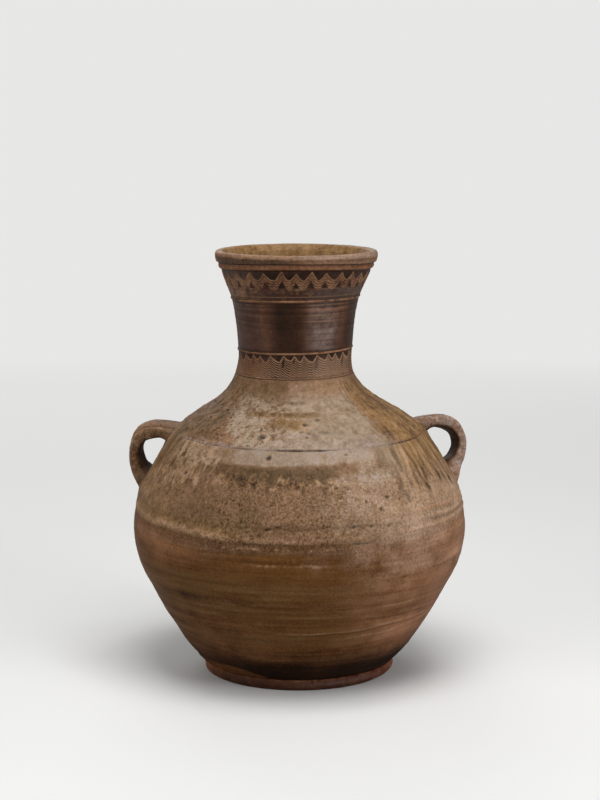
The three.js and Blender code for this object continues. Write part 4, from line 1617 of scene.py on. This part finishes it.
def hand_over(piece: Piece, node: str, finish: ClayFinish, maker: MaterialMaker) -> None:
    """Dress a piece, let it ride on the jar's body and stand for its node.

    Args:
        piece: the finished object.
        node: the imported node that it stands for.
        finish: the finish it takes.
        maker: where the finish's material comes from.
    """
    piece.data.materials.append(maker.make(finish))
    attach(piece, "root")
    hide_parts(node)
    count = sum(len(polygon.vertices) - 2 for polygon in piece.data.polygons)
    log.info("%s stands for %s: %d triangles", piece.name, node, count)


# Sub-assemblies


@dataclass
class WallCourses:
    """The luted courses of the wall, from the floor joint to the lip joint."""

    form: WallForm
    surface: Surface
    finishes: FinishSet
    joints: dict[str, Joint]
    maker: MaterialMaker
    outside_spacing: float = 0.85
    inside_spacing: float = 7.0
    mouth_spacing: float = 1.3
    mouth_from: float = 300.0
    least_step: float = 0.12

    def __post_init__(self) -> None:
        """Spread the azimuths evenly round the jar."""
        self.azimuth = (np.arange(AROUND) * 360 / AROUND)[None, :]
        self.azimuth = turn_between(self.azimuth, 0)

    def outside_rows(self, z: Array) -> tuple[Array, Coats]:
        """Points and coats of the outside at some heights.

        The plain profile is turned into points, the noise is read there, and the points
        are then moved out along the profile's normal by the relief.

        Args:
            z: heights on the profile.

        Returns:
            Points with one row for each height, and the coats on them.
        """
        column = z[:, None]
        radius, height = self.form.wall_point(column, 0.0)
        plain = self.form.place(self.azimuth, radius, height)
        relief = self.surface.relief(self.azimuth, column, plain)
        radius, height = self.form.wall_point(column, -relief)
        coats = CoatField(self.azimuth, column, plain, self.surface).dress()
        return self.form.place(self.azimuth, radius, height), coats

    def inside_rows(self, z: Array) -> Array:
        """Points of the inside at some heights, with soft finger ridges.

        Args:
            z: heights on the profile.

        Returns:
            Points with one row for each height.
        """
        column = z[:, None]
        thickness = read_gauge(self.form.thickness, column)
        radius, height = self.form.wall_point(column, thickness)
        plain = self.form.place(self.azimuth, radius, height)
        ridges = 0.5 * self.surface.noise.sample(plain, (120, 120, 12), 2, 15.0)
        radius, height = self.form.wall_point(column, thickness + ridges)
        return self.form.place(self.azimuth, radius, height)

    def key_row(self, joint: Joint) -> Array:
        """Points of the keyed middle of a joint, half way through the wall.

        Args:
            joint: the joint.

        Returns:
            One row of points.
        """
        z = np.array([[joint.z]])
        thickness = read_gauge(self.form.thickness, z)
        depth = (thickness + joint.seat_depth) / 2
        radius, height = self.form.wall_point(z, depth, self.form.key_height)
        return self.form.place(self.azimuth, radius, height)

    def joint_rows(self, joint: Joint) -> Array:
        """Points of a joint from its outer edge to its inner edge, key between them.

        Args:
            joint: the joint.

        Returns:
            Three rows of points.
        """
        z = np.array([joint.z])
        outer, _ = self.outside_rows(z)
        return np.concatenate([outer, self.key_row(joint), self.inside_rows(z)])

    def course(self, name: str, low: Joint, high: Joint, spacing: float) -> Piece:
        """Build one course as a closed ring of clay.

        Args:
            name: name of the piece.
            low: the joint under it.
            high: the joint on top of it.
            spacing: distance between rows on the outside.

        Returns:
            The object: rows up the outside, across the upper joint, down the inside and
            back across the lower joint.
        """
        z = self.form.stations(low.z, high.z, spacing)
        for joint in (low, high):
            if joint.seat_depth:
                near = joint.z + joint.seat_half * np.array([-1.0, -0.66, -0.33, 0.33, 0.66, 1.0])
                z = np.concatenate([z, near[(near > low.z) & (near < high.z)]])
        z = np.unique(np.round(z, 4))
        keep = np.concatenate([[True], np.diff(z) > self.least_step])
        keep[-1] = True
        outside, coats = self.outside_rows(z[keep])
        inner_spacing = self.mouth_spacing if low.z > self.mouth_from else self.inside_spacing
        inner_z = self.form.stations(low.z, high.z, inner_spacing)[::-1]
        inside = self.inside_rows(inner_z)
        bare = {INSIDE: 1.0}
        runs = [
            (outside, coats),
            (self.key_row(high), bare),
            (inside, coat_inside(self.surface.noise, inside, inner_z[:, None])),
            (self.key_row(low), bare),
        ]
        top = len(outside) - 1
        return clay_object(name, runs, (0, top, top + 2, top + 1 + len(inside)))

    def build(self) -> None:
        """Build and dress every course."""
        j, f = self.joints, self.finishes
        plan = (
            ("lower_wall", "floor", "lower", f.lower, self.outside_spacing),
            ("lower_belly", "lower", "belly", f.lower, self.outside_spacing),
            ("upper_belly", "belly", "shoulder", f.bare_tan, self.outside_spacing),
            ("shoulder_wall", "shoulder", "incised", f.runs, self.outside_spacing),
            ("shoulder_top", "incised", "neck_foot", f.ash, self.outside_spacing),
            ("neck_collar", "neck_foot", "lower_cord", f.neck, 0.28),
            ("neck_tube", "lower_cord", "upper_cord", f.neck, 0.55),
            ("mouth_cup", "upper_cord", "lip", f.neck, 0.4),
        )
        for node, low, high, finish, spacing in plan:
            piece = self.course(node + "_clay", j[low], j[high], spacing)
            hand_over(piece, node, finish, self.maker)


@dataclass
class FootAndFloor:
    """The foot ring, and the slab of clay that makes the jar's floor."""

    walls: WallCourses
    floor_thickness: float = 8.4
    spacing: float = 0.9
    outer_side: float = 76.0
    ring_section: Gauge = (
        (68.5, 0), (69.5, 0), (72, 0), (74.6, 0), (75.8, 0.14), (76.9, 0.7), (77.8, 1.6),
        (78.5, 2.6), (79, 3.7), (79.25, 4.8), (79.25, 5.8), (79.1, 6.7), (78.7, 7.6),
        (78.1, 8.4), (77.3, 9.1), (76.2, 9.6), (72, 9.6), (69.5, 9.6), (68.9, 8.4),
        (68.2, 6.4), (67.9, 4.6), (68.1, 2.4), (68.3, 0.8),
    )
    ring_edges: tuple[int, int] = (0, 17)
    under_radii: tuple[float, ...] = (6, 20, 34, 48, 60, 66, 72, 76, 77.6)
    floor_section: Gauge = ((70, 1.6), (66, 0.8), (58, 0.3), (44, 0.1), (28, 0), (12, 0))

    def foot_ring(self) -> Piece:
        """Build the foot ring: a section carried round, uneven above and flat below.

        Returns:
            The object.
        """
        form, azimuth, noise = self.walls.form, self.walls.azimuth, self.walls.surface.noise
        radius, height = np.array(self.ring_section).T[..., None]
        plain = form.place(azimuth, radius, height)
        outer = radius > self.outer_side
        side = ramp(height, 0.6, 3.0) * outer
        swell = noise.sample(plain, (26, 26, 14), 3, 6.0)
        lap = ramp(height, 5.5, 8.5) * outer
        crack = bell(turn_between(azimuth, 8.1), 0.8) * ramp(height, 4, 7) * side
        moved = 0.6 * swell * side + 0.35 * lap * noise.sample(plain, 9, 2, 4.0) - 0.8 * crack
        left_flange = -1.7 * arc(azimuth, -118, -62, 16) * side
        lifted = np.where((height > 6) & outer, 0.5 * swell * lap, 0.0)
        points = form.place(azimuth, radius + np.minimum(moved + left_flange, 1.3), height + lifted)
        wide = noise.sample(plain, 14, 3, 8.0)
        small = noise.sample(plain, 4, 3, 1.0)
        dark = 0.55 * ramp(wide - 0.2 * small, -0.1, 0.8) + 0.6 * arc(azimuth, -66, 40, 20)
        # The bluish bloom across the ring's middle, right of the front, is a painted sheen.
        bloom = 0.24 * arc(azimuth, 4, 50, 16) * bell(height - 5.5, 2.0) + 0.1 * small
        rust = 0.7 * arc(azimuth, -120, -52, 12) + 0.4 * arc(azimuth, 66, 100, 10)
        # The line along the top edge is a painted highlight, and the dark is thinned there with it.
        rust = rust + 0.5 * bell(height - 8.7, 0.6) * ramp(small, -0.2, 0.4)
        coats = {
            DARK: unit(dark * 0.6 + 0.5 * crack) * (1 - 0.7 * bell(height - 8.6, 0.7)),
            RED: unit(0.2 + 0.4 * wide),
            VIOLET: unit(bloom) * side,
            RUST: unit(rust) * side,
            STREAK: 0.4,
            # Darker at the left of the front: painted shade.
            TONE: -0.2 * arc(azimuth, -84, -6, 14) * side,
        }
        return clay_object("foot_ring_clay", [(points, coats)], self.ring_edges)

    def base_slab(self) -> Piece:
        """Build the slab: underside, the lowest stretch of wall, the joint and the floor.

        Returns:
            The object.
        """
        walls, form, azimuth = self.walls, self.walls.form, self.walls.azimuth
        under_radius = np.array(self.under_radii)[:, None]
        under = form.place(azimuth, under_radius, form.foot_height)
        bumps = walls.surface.noise.sample(under, 20, 3, 5.5)
        under[..., 2] += 0.35 * unit(bumps * (1 - ramp(under_radius, 60, 67)))
        joint = walls.joints["floor"]
        z = form.stations(form.foot_height + 0.2, joint.z, self.spacing)
        outside, coats = walls.outside_rows(z)
        top = form.foot_height + self.floor_thickness
        radius, rise = np.array(self.floor_section).T[..., None]
        floor = form.place(azimuth, radius, top + rise)
        inside = np.concatenate([walls.joint_rows(joint)[1:], floor])
        bare = {INSIDE: 1.0}
        runs = [(under, {TAN: 0.35, RED: 0.6, GRIT: 0.5}), (outside, coats), (inside, bare)]
        poles = np.array([[0, 0, form.foot_height], [0, 0, top]])
        low, edge = len(under), len(under) + len(outside)
        return clay_object("base_slab_clay", runs, (low - 1, edge - 1, edge + 1), poles, bare)

    def build(self) -> None:
        """Build and dress the foot ring and the slab."""
        finishes, maker = self.walls.finishes, self.walls.maker
        hand_over(self.foot_ring(), "foot_ring", finishes.foot, maker)
        hand_over(self.base_slab(), "base_slab", finishes.lower, maker)


@dataclass
class RimLip:
    """The rolled lip at the top of the mouth."""

    walls: WallCourses
    centre: tuple[float, float] = (62.3, 343.5)
    section: tuple[tuple[float, float], ...] = (
        (63.8, 339.4), (64.9, 339.5), (65.5, 340.6), (65.9, 342.0), (66.2, 343.6),
        (66.1, 345.0), (65.5, 346.3), (64.3, 347.05), (62.9, 347.25), (61.0, 347.0),
        (59.3, 346.2), (58.2, 344.7),
    )
    roll_steps: int = 50
    nick_azimuth: float = 0.5
    chip_azimuth: float = 29.0

    def build(self) -> None:
        """Build the lip: its section from under its edge, over the crest and down inside.

        The section is a smooth curve through its rows, read by its length, and the clay's
        wobble and the nick move it away from its centre.
        """
        form, azimuth, noise = self.walls.form, self.walls.azimuth, self.walls.surface.noise
        outer, key, inner = np.split(self.walls.joint_rows(self.walls.joints["lip"]), 3)
        corners = np.array(self.section)
        length = running_length(np.linalg.norm(np.diff(corners, axis=0), axis=1))
        at = np.linspace(0, length[-1], self.roll_steps)
        rows = (np.stack([length, axis], axis=-1) for axis in corners.T)
        radius, height = (read_gauge(pairs, at)[:, None] for pairs in rows)
        out, up = radius - self.centre[0], height - self.centre[1]
        away, degrees = np.hypot(out, up), np.degrees(np.arctan2(up, out))
        plain = form.place(azimuth, radius, height)
        wobble = 0.14 * noise.sample(plain, 12, 3, 2.2) + 0.06 * noise.sample(plain, 3, 2, 6.1)
        nick = bell(turn_between(azimuth, self.nick_azimuth) * 1.15, 1.5) * bell(degrees - 48, 34)
        chip = bell(turn_between(azimuth, self.chip_azimuth) * 1.1, 1.3) * bell(degrees - 70, 22)
        change = np.minimum(wobble - 0.08, 0.1) - 0.75 * nick - 0.3 * chip
        roll = form.place(azimuth, radius + change * out / away, height + change * up / away)
        blend = np.array([0.3, 0.65])[:, None, None]
        down = roll[-1:] * (1 - blend) + inner * blend
        small = noise.sample(plain, 5, 3, 3.3)
        wide = noise.sample(plain, 16, 3, 4.4)
        fine = noise.sample(plain, (30, 30, 1.4), 2, 8.2)
        # Painted shade: dark on the underside of the roll, and more on it left of the front.
        under = 1 - ramp(degrees, -68, -52)
        left_painted_shade = arc(azimuth, -76, -2, 10) * (1 - ramp(degrees + 8 * wide, -6, 16))
        right_line = 0.35 * arc(azimuth, 4, 60, 12) * bell(degrees + 12 + 8 * wide, 12)
        dark = 0.8 * under + 0.66 * left_painted_shade + right_line + 0.4 * nick
        inside = ramp(degrees, 100, 128)
        bloom = 0.45 * arc(azimuth, 2, 100, 14) * ramp(degrees, -10, 20)
        coats = {
            DARK: unit(dark + 0.3 * ramp(small, 0.5, 1.0)),
            VIOLET: unit(bloom) * (1 - inside),
            RUST: unit(0.3 * ramp(-small, 0.5, 1.0)),
            PALE: unit(0.3 * bell(degrees - 60, 26) + 0.25 * fine),
            TONE: 0.14 * small + 0.14 * fine,
            GRIT: 0.35,
        }
        mouth = coat_inside(noise, plain, height)
        coats = {
            kind: (1 - inside) * coats.get(kind, 0) + inside * mouth.get(kind, 0) for kind in Coat
        }
        rest = np.concatenate([down, inner, key])
        # The outer joint row is painted shadow in the crease under the lip.
        runs = [(outer, {DARK: 0.9}), (roll, coats), (rest, coat_inside(noise, rest, rest[..., 2]))]
        last = len(roll) + len(rest) - 1
        piece = clay_object("rim_lip_clay", runs, (0, last))
        hand_over(piece, "rim_lip", self.walls.finishes.lip, self.walls.maker)


@dataclass
class NeckCord:
    """A thin roll of clay laid in the seat between two courses of the neck."""

    walls: WallCourses
    node: str
    joint: Joint
    proud: float = 0.85
    steps: int = 15
    waver: float = 0.25
    dark_left: float = 0.35

    def build(self) -> None:
        """Build the cord: half an ellipse over the seat, closed by a ridge that fills it."""
        form, azimuth, noise = self.walls.form, self.walls.azimuth, self.walls.surface.noise
        joint = self.joint
        middle = np.array([[joint.z]])
        share = np.linspace(-1.0, 1.0, self.steps)[:, None]
        arch = unit(1 - share**2)
        plain = form.place(azimuth, *form.wall_point(middle + share * joint.seat_half, 0.0))
        row = plain[self.steps // 2 : self.steps // 2 + 1]
        thick = 1 + 0.16 * noise.sample(row, 9, 2, 1.5)
        lift = self.waver * noise.sample(row, 28, 2, 9.5)
        half = joint.seat_half * (0.9 + 0.12 * noise.sample(row, 14, 2, 4.5))
        proud = self.proud * thick * np.sqrt(arch) - 0.14
        level = joint.z + share * half + lift * arch
        front = form.place(azimuth, *form.wall_point(level, -proud))
        back = form.place(azimuth, *form.wall_point(middle, joint.seat_depth + 0.15))
        small = noise.sample(plain, 4, 3, 2.5)
        wide = noise.sample(plain, 15, 3, 3.5)
        edge = ramp(np.abs(share), 0.55, 1.0)
        dark = 0.6 * edge + 0.35 * ramp(-small - wide, 0.1, 1.0)
        coats = {
            DARK: unit(dark + self.dark_left * arc(azimuth, -100, -40, 20)),
            RUST: unit(0.35 + 0.35 * wide) * (1 - edge),
            PALE: unit(0.4 * bell(share - 0.3, 0.4) + 0.3 * small),
        }
        piece = clay_object(self.node + "_clay", [(front, coats), (back, {})], (0, self.steps - 1))
        hand_over(piece, self.node, self.walls.finishes.cord, self.walls.maker)


@dataclass
class StrapLoop:
    """A strap of clay that rises from the shoulder, bends over and comes back to it."""

    walls: WallCourses
    node: str
    turn: float
    width: float
    thickness: Gauge
    route: tuple[tuple[float, float], ...]
    tint: Coats
    web: Gauge
    lean: float
    flank: float = 0.0
    seed: float = 0.0
    stations: int = 190
    around: int = 72
    flare_width: float = 8.0
    flare_thickness: float = 7.0
    flare_length: float = 24.0
    groove: float = 0.9
    sunk: float = 0.9

    def centreline(self) -> tuple[Array, Array]:
        """Follow the route with a centripetal curve.

        Each span is a cubic whose end slopes come from its neighbours, spaced by the
        square root of the distance between points, and the whole is read by its length.

        Returns:
            Points of radius and height, evenly spaced, and the unit direction at each.
        """
        points = np.asarray(self.route, float)
        before, after = 2 * points[0] - points[1], 2 * points[-1] - points[-2]
        points = np.concatenate([[before], points, [after]])
        step = np.linalg.norm(np.diff(points, axis=0), axis=1)[:, None] ** 0.5
        chord = np.diff(points, axis=0) / step
        skip = (points[2:] - points[:-2]) / (step[:-1] + step[1:])
        slope = chord[:-1] - skip + chord[1:]
        t = np.linspace(0, 1, 60)[None, :, None]
        start, end = points[1:-2, None], points[2:-1, None]
        out, into = (slope[:-1] * step[1:-1])[:, None], (slope[1:] * step[1:-1])[:, None]
        curve = (2 * t**3 - 3 * t**2 + 1) * start + (t**3 - 2 * t**2 + t) * out
        curve = curve + (3 * t**2 - 2 * t**3) * end + (t**3 - t**2) * into
        curve = curve.reshape(-1, 2)
        step = np.linalg.norm(np.diff(curve, axis=0), axis=1)
        curve = curve[np.concatenate([[True], step > 1e-6])]
        length = running_length(np.linalg.norm(np.diff(curve, axis=0), axis=1))
        even = np.linspace(0, length[-1], 400)
        middle = np.stack([np.interp(even, length, curve[:, i]) for i in (0, 1)], axis=-1)
        direction = np.gradient(middle, even, axis=0)
        self.length = length[-1]
        return middle, direction / np.linalg.norm(direction, axis=1)[:, None]

    def section(self) -> tuple[Array, Array]:
        """Section of the strap: a box that powers of the cosine and the sine round off.

        Returns:
            The place of each point across the strap and through it, as shares of the
            width and the thickness.
        """
        turn = np.arange(self.around) * 2 * np.pi / self.around
        cosine, sine = np.cos(turn), np.sin(turn)
        side = 0.5 * np.sign(cosine) * np.abs(cosine) ** 0.55
        rise = 0.5 * np.sign(sine) * np.abs(sine) ** 0.62
        return side, rise

    def fibres(self) -> tuple[Array, Array, Array]:
        """Carry the section along the whole route, roots and all.

        Returns:
            Flat x and y and the height of every point before it wanders, with one row
            for each place on the route and one column for each point of the section.
        """
        middle, direction = self.centreline()
        side, rise = self.section()
        along = np.linspace(0, 1, len(middle))[:, None]
        to_root = np.minimum(along, 1 - along) * self.length / self.flare_length
        flare = ramp(1 - to_root, 0, 1)
        pinch = 0.5 * np.sin(along * 19 + self.seed) + 0.35 * np.sin(along * 41 + 2 * self.seed)
        width = self.width + self.flare_width * flare + pinch
        thickness = read_gauge(self.thickness, along) + self.flare_thickness * flare
        thickness = thickness + 2 * read_gauge(self.web, along) * (rise < 0)
        outer = ramp(rise, 0.1, 0.4)
        margins = bell(np.abs(side) - 0.31, 0.05) - 0.35 * bell(side, 0.16)
        up = rise * thickness - self.groove * (1 - 0.6 * flare) * margins * outer + 0.25 * pinch * rise
        angle = math.radians(self.turn)
        reach = middle[:, :1] - up * direction[:, 1:]
        across = side * width
        x = reach * math.cos(angle) - across * math.sin(angle)
        y = reach * math.sin(angle) + across * math.cos(angle)
        return x, y, middle[:, 1:] + up * direction[:, :1] + self.lean * (across + 0.5 * width)

    def build(self) -> None:
        """Trim every fibre where it dips under the wall, and join them into a closed strap."""
        form, noise = self.walls.form, self.walls.surface.noise
        x, y, z = self.fibres()
        out = (np.hypot(x, y) - form.radius(z)) / np.hypot(1, form.slope(z)) + self.sunk
        rows = len(x)
        first = np.argmax(out > 0, axis=0)
        last = rows - 1 - np.argmax(out[::-1] > 0, axis=0)
        columns = np.arange(self.around)
        start = first - out[first, columns] / (out[first, columns] - out[first - 1, columns])
        end = last + out[last, columns] / (out[last, columns] - out[last + 1, columns])
        share = np.linspace(0, 1, self.stations)[:, None]
        at = start + (end - start) * share
        low = np.clip(at.astype(int), 0, rows - 2)
        part = at - low
        x, y, z = ((1 - part) * v[low, columns] + part * v[low + 1, columns] for v in (x, y, z))
        plain = form.wander(x, y, z)
        side, rise = self.section()
        middle = np.stack([plain[..., i].mean(axis=1, keepdims=True) for i in range(3)], axis=-1)
        outward = plain - middle
        outward = outward / np.linalg.norm(outward, axis=-1, keepdims=True)
        lumps = 0.4 * noise.sample(plain, 8, 3, 3.0 + self.seed)
        lumps = lumps + 0.16 * noise.sample(plain, 2.6, 2, 5.0)
        to_end = np.minimum(share, 1 - share)
        points = plain + outward * (lumps * ramp(to_end, 0.0, 0.05))[..., None]
        wide = noise.sample(plain, 11, 3, 7.0)
        small = noise.sample(plain, 3.5, 3, 9.0)
        across = np.abs(side)
        margin = bell(across - 0.31, 0.055) * (rise > 0.3)
        edge = bell(across - 0.41, 0.05) * (rise > 0.25)
        inner = ramp(-rise, 0.2, 0.45)
        root = 1 - ramp(to_end, 0.02, 0.16)
        # The dark on the inner face, where the strap faces the wall, is painted shade.
        dark = 0.35 * margin + 0.8 * inner + 0.4 * ramp(-small, 0.4, 1.0)
        coats = {
            DARK: unit(dark + self.flank * ramp(across, 0.43, 0.49)),
            PALE: unit(0.45 * edge + 0.3 * ramp(small, 0.3, 1.0)) * (1 - inner),
            RUST: unit(0.3 * ramp(wide - small, 0.0, 0.8) + 0.2 * inner),
            TAN: unit(0.8 * root + 0.2 * wide),
            GRIT: 0.45,
            TONE: 0.25 * small,
        }
        for kind, value in self.tint.items():
            tinted = value * (0.7 + 0.5 * wide) * (1 - inner) * (1 - 0.6 * root)
            coats[kind] = coats.get(kind, 0) + tinted
        poles = points[[0, -1]].mean(axis=1)
        piece = clay_object(self.node + "_clay", [(points, coats)], (), poles, {DARK: 0.6})
        hand_over(piece, self.node, self.walls.finishes.loop, self.walls.maker)


@dataclass
class Studio:
    """Camera, lamps, floor and plain surroundings."""

    camera_distance: float = 1.65
    camera_height: float = 0.4819
    camera_side: float = 0.0015
    camera_dip: float = 8.895
    focal_length: float = 91.593
    sensor_height: float = 36.0
    pale: Colour = (0.80, 0.80, 0.79, 1.0)
    bounce: Colour = (0.42, 0.42, 0.42, 1.0)
    floor_rings: tuple[float, ...] = (0.4, 1.2, 2.5, 6.0)
    floor_around: int = 96

    def build(self) -> None:
        """Set up everything that isn't the jar."""
        self.camera()
        self.lamp("top_lamp", (0.15, -0.45, 1.75), (1.1, 1.0), 21.0)
        self.lamp("right_lamp", (1.45, -1.15, 0.62), (0.7, 1.1), 14.0)
        self.lamp("left_fill_lamp", (-1.6, -1.2, 0.75), (1.2, 1.2), 12.0)
        self.lamp("back_lamp", (-0.4, 1.7, 1.2), (1.2, 0.9), 9.0)
        self.floor()
        self.surroundings()
        bpy.context.scene.view_settings.view_transform = "Standard"

    def camera(self) -> None:
        """Set the camera where the photograph was taken from."""
        data = bpy.data.cameras.new("photo_camera")
        data.lens = self.focal_length
        data.sensor_fit = "VERTICAL"
        data.sensor_height = self.sensor_height
        data.clip_start, data.clip_end = 0.05, 30.0
        camera = bpy.data.objects.new("photo_camera", data)
        camera.location = (self.camera_side, -self.camera_distance, self.camera_height)
        camera.rotation_euler = (math.radians(90 - self.camera_dip), 0, 0)
        bpy.context.scene.collection.objects.link(camera)
        bpy.context.scene.camera = camera

    def lamp(
        self, name: str, place: tuple[float, float, float], size: tuple[float, float], power: float
    ) -> None:
        """Hang a soft rectangular lamp that looks at the jar's middle.

        Args:
            name: name of the lamp.
            place: where it hangs, in metres.
            size: its width and height, in metres.
            power: its power in watts.
        """
        data = bpy.data.lights.new(name, "AREA")
        data.shape = "RECTANGLE"
        data.size, data.size_y = size
        data.energy = power
        lamp = bpy.data.objects.new(name, data)
        lamp.location = place
        aim = Vector((0, 0, 0.19)) - Vector(place)
        lamp.rotation_euler = aim.to_track_quat("-Z", "Y").to_euler()
        bpy.context.scene.collection.objects.link(lamp)

    def floor(self) -> None:
        """Lay a pale floor that fades into the surroundings away from the jar."""
        count, around = len(self.floor_rings), self.floor_around
        radius = np.array(self.floor_rings)[:, None]
        angle = np.arange(around) * 2 * np.pi / around
        flat = np.broadcast_arrays(radius * np.sin(angle), -radius * np.cos(angle), 0 * angle)
        rings = np.stack(flat, axis=-1).reshape(-1, 3)
        vertices = np.concatenate([rings, [[0, 0, 0]]]) / METRES_PER_MM
        faces = [ring_faces(count, around, False)[:, ::-1], fan_faces(0, around, count * around, True)]
        floor = make_object("pale_floor", vertices, faces, {})
        material = bpy.data.materials.new("pale_floor")
        material.use_nodes = True
        nodes = material.node_tree.nodes
        writer = NodeWriter(material.node_tree)
        shader = nodes["Principled BSDF"]
        shader.inputs["Roughness"].default_value = 0.9
        glow = writer.add("Emission", {"Color": self.pale}).outputs[0]
        length = writer.add("VectorMath", {0: writer.place()}, operation="LENGTH").outputs["Value"]
        far = writer.math("MULTIPLY", writer.math("SUBTRACT", length, 0.5), 0.7, clamp=True)
        seen = writer.add("LightPath").outputs["Is Camera Ray"]
        writer.feed(shader.inputs["Base Color"], writer.mix(seen, self.bounce, self.pale))
        blend = writer.add("MixShader", {0: writer.product(far, seen), 1: shader.outputs[0], 2: glow})
        writer.feed(nodes["Material Output"].inputs["Surface"], blend.outputs[0])
        floor.data.materials.append(material)

    def surroundings(self) -> None:
        """Give soft even light, and a pale view to the camera."""
        world = bpy.data.worlds.new("pale_room")
        bpy.context.scene.world = world
        world.use_nodes = True
        nodes = world.node_tree.nodes
        writer = NodeWriter(world.node_tree)
        soft = nodes["Background"]
        soft.inputs["Color"].default_value = (1.0, 1.0, 1.0, 1.0)
        soft.inputs["Strength"].default_value = 0.25
        view = writer.add("Background", {"Color": self.pale, "Strength": 1.0}).outputs[0]
        seen = writer.add("LightPath").outputs["Is Camera Ray"]
        blend = writer.add("MixShader", {0: seen, 1: soft.outputs[0], 2: view})
        writer.feed(nodes["World Output"].inputs["Surface"], blend.outputs[0])


def main() -> None:
    """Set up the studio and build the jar's pieces in order."""
    logging.basicConfig(level=logging.INFO, format="%(name)s: %(message)s")
    joints = {
        "floor": Joint(18.6),
        "lower": Joint(64.0),
        "belly": Joint(124.6),
        "shoulder": Joint(162.0),
        "incised": Joint(199.7, 0.8, 0.7),
        "neck_foot": Joint(247.0, 0.3, 0.7),
        "lower_cord": Joint(267.7, 0.8, 1.1),
        "upper_cord": Joint(309.8, 0.8, 1.15),
        "lip": Joint(339.4),
    }
    form = WallForm()
    surface = Surface(form, ClayNoise(), tuple(joints.values()))
    walls = WallCourses(form, surface, FinishSet(), joints, MaterialMaker())
    Studio().build()
    FootAndFloor(walls).build()
    walls.build()
    NeckCord(walls, "lower_neck_cord", joints["lower_cord"]).build()
    NeckCord(walls, "upper_neck_cord", joints["upper_cord"], dark_left=0.1).build()
    RimLip(walls).build()
    StrapLoop(
        walls,
        "left_handle",
        turn=174.0,
        width=27.0,
        thickness=((0, 9), (0.15, 8.5), (0.3, 10.2), (0.45, 11.3), (0.6, 9.8), (0.8, 9.8), (1, 11)),
        route=(
            (92, 193), (104, 198), (118, 200.2), (130.6, 196.2),
            (136.25, 183), (134.9, 168.5), (127.5, 156.5), (119, 147),
        ),
        tint={OLIVE: 0.3, RED: 0.3, TONE: 0.06},
        web=((0, 4), (0.12, 3), (0.22, 1), (0.35, 0.4), (0.62, 0.4), (0.75, 2.4), (0.85, 5), (1, 6)),
        lean=-0.16,
        flank=0.3,
        seed=0.4,
    ).build()
    StrapLoop(
        walls,
        "right_handle",
        turn=11.0,
        width=28.0,
        thickness=((0, 9), (0.2, 10), (0.38, 11.4), (0.52, 9.6), (0.68, 8.4), (0.85, 9), (1, 11)),
        route=(
            (92, 199), (104, 203.8), (117, 205.4), (128.4, 201),
            (134.8, 189.5), (134, 175), (128.4, 162), (121.5, 151),
        ),
        tint={VIOLET: 0.95, TONE: 0.12},
        web=((0, 1), (0.3, 0), (0.64, 0.8), (0.7, 2.6), (0.78, 5.6), (1, 6.5)),
        lean=-0.18,
        flank=-0.1,
        seed=1.7,
    ).build()


if __name__ == "__main__":
    main()
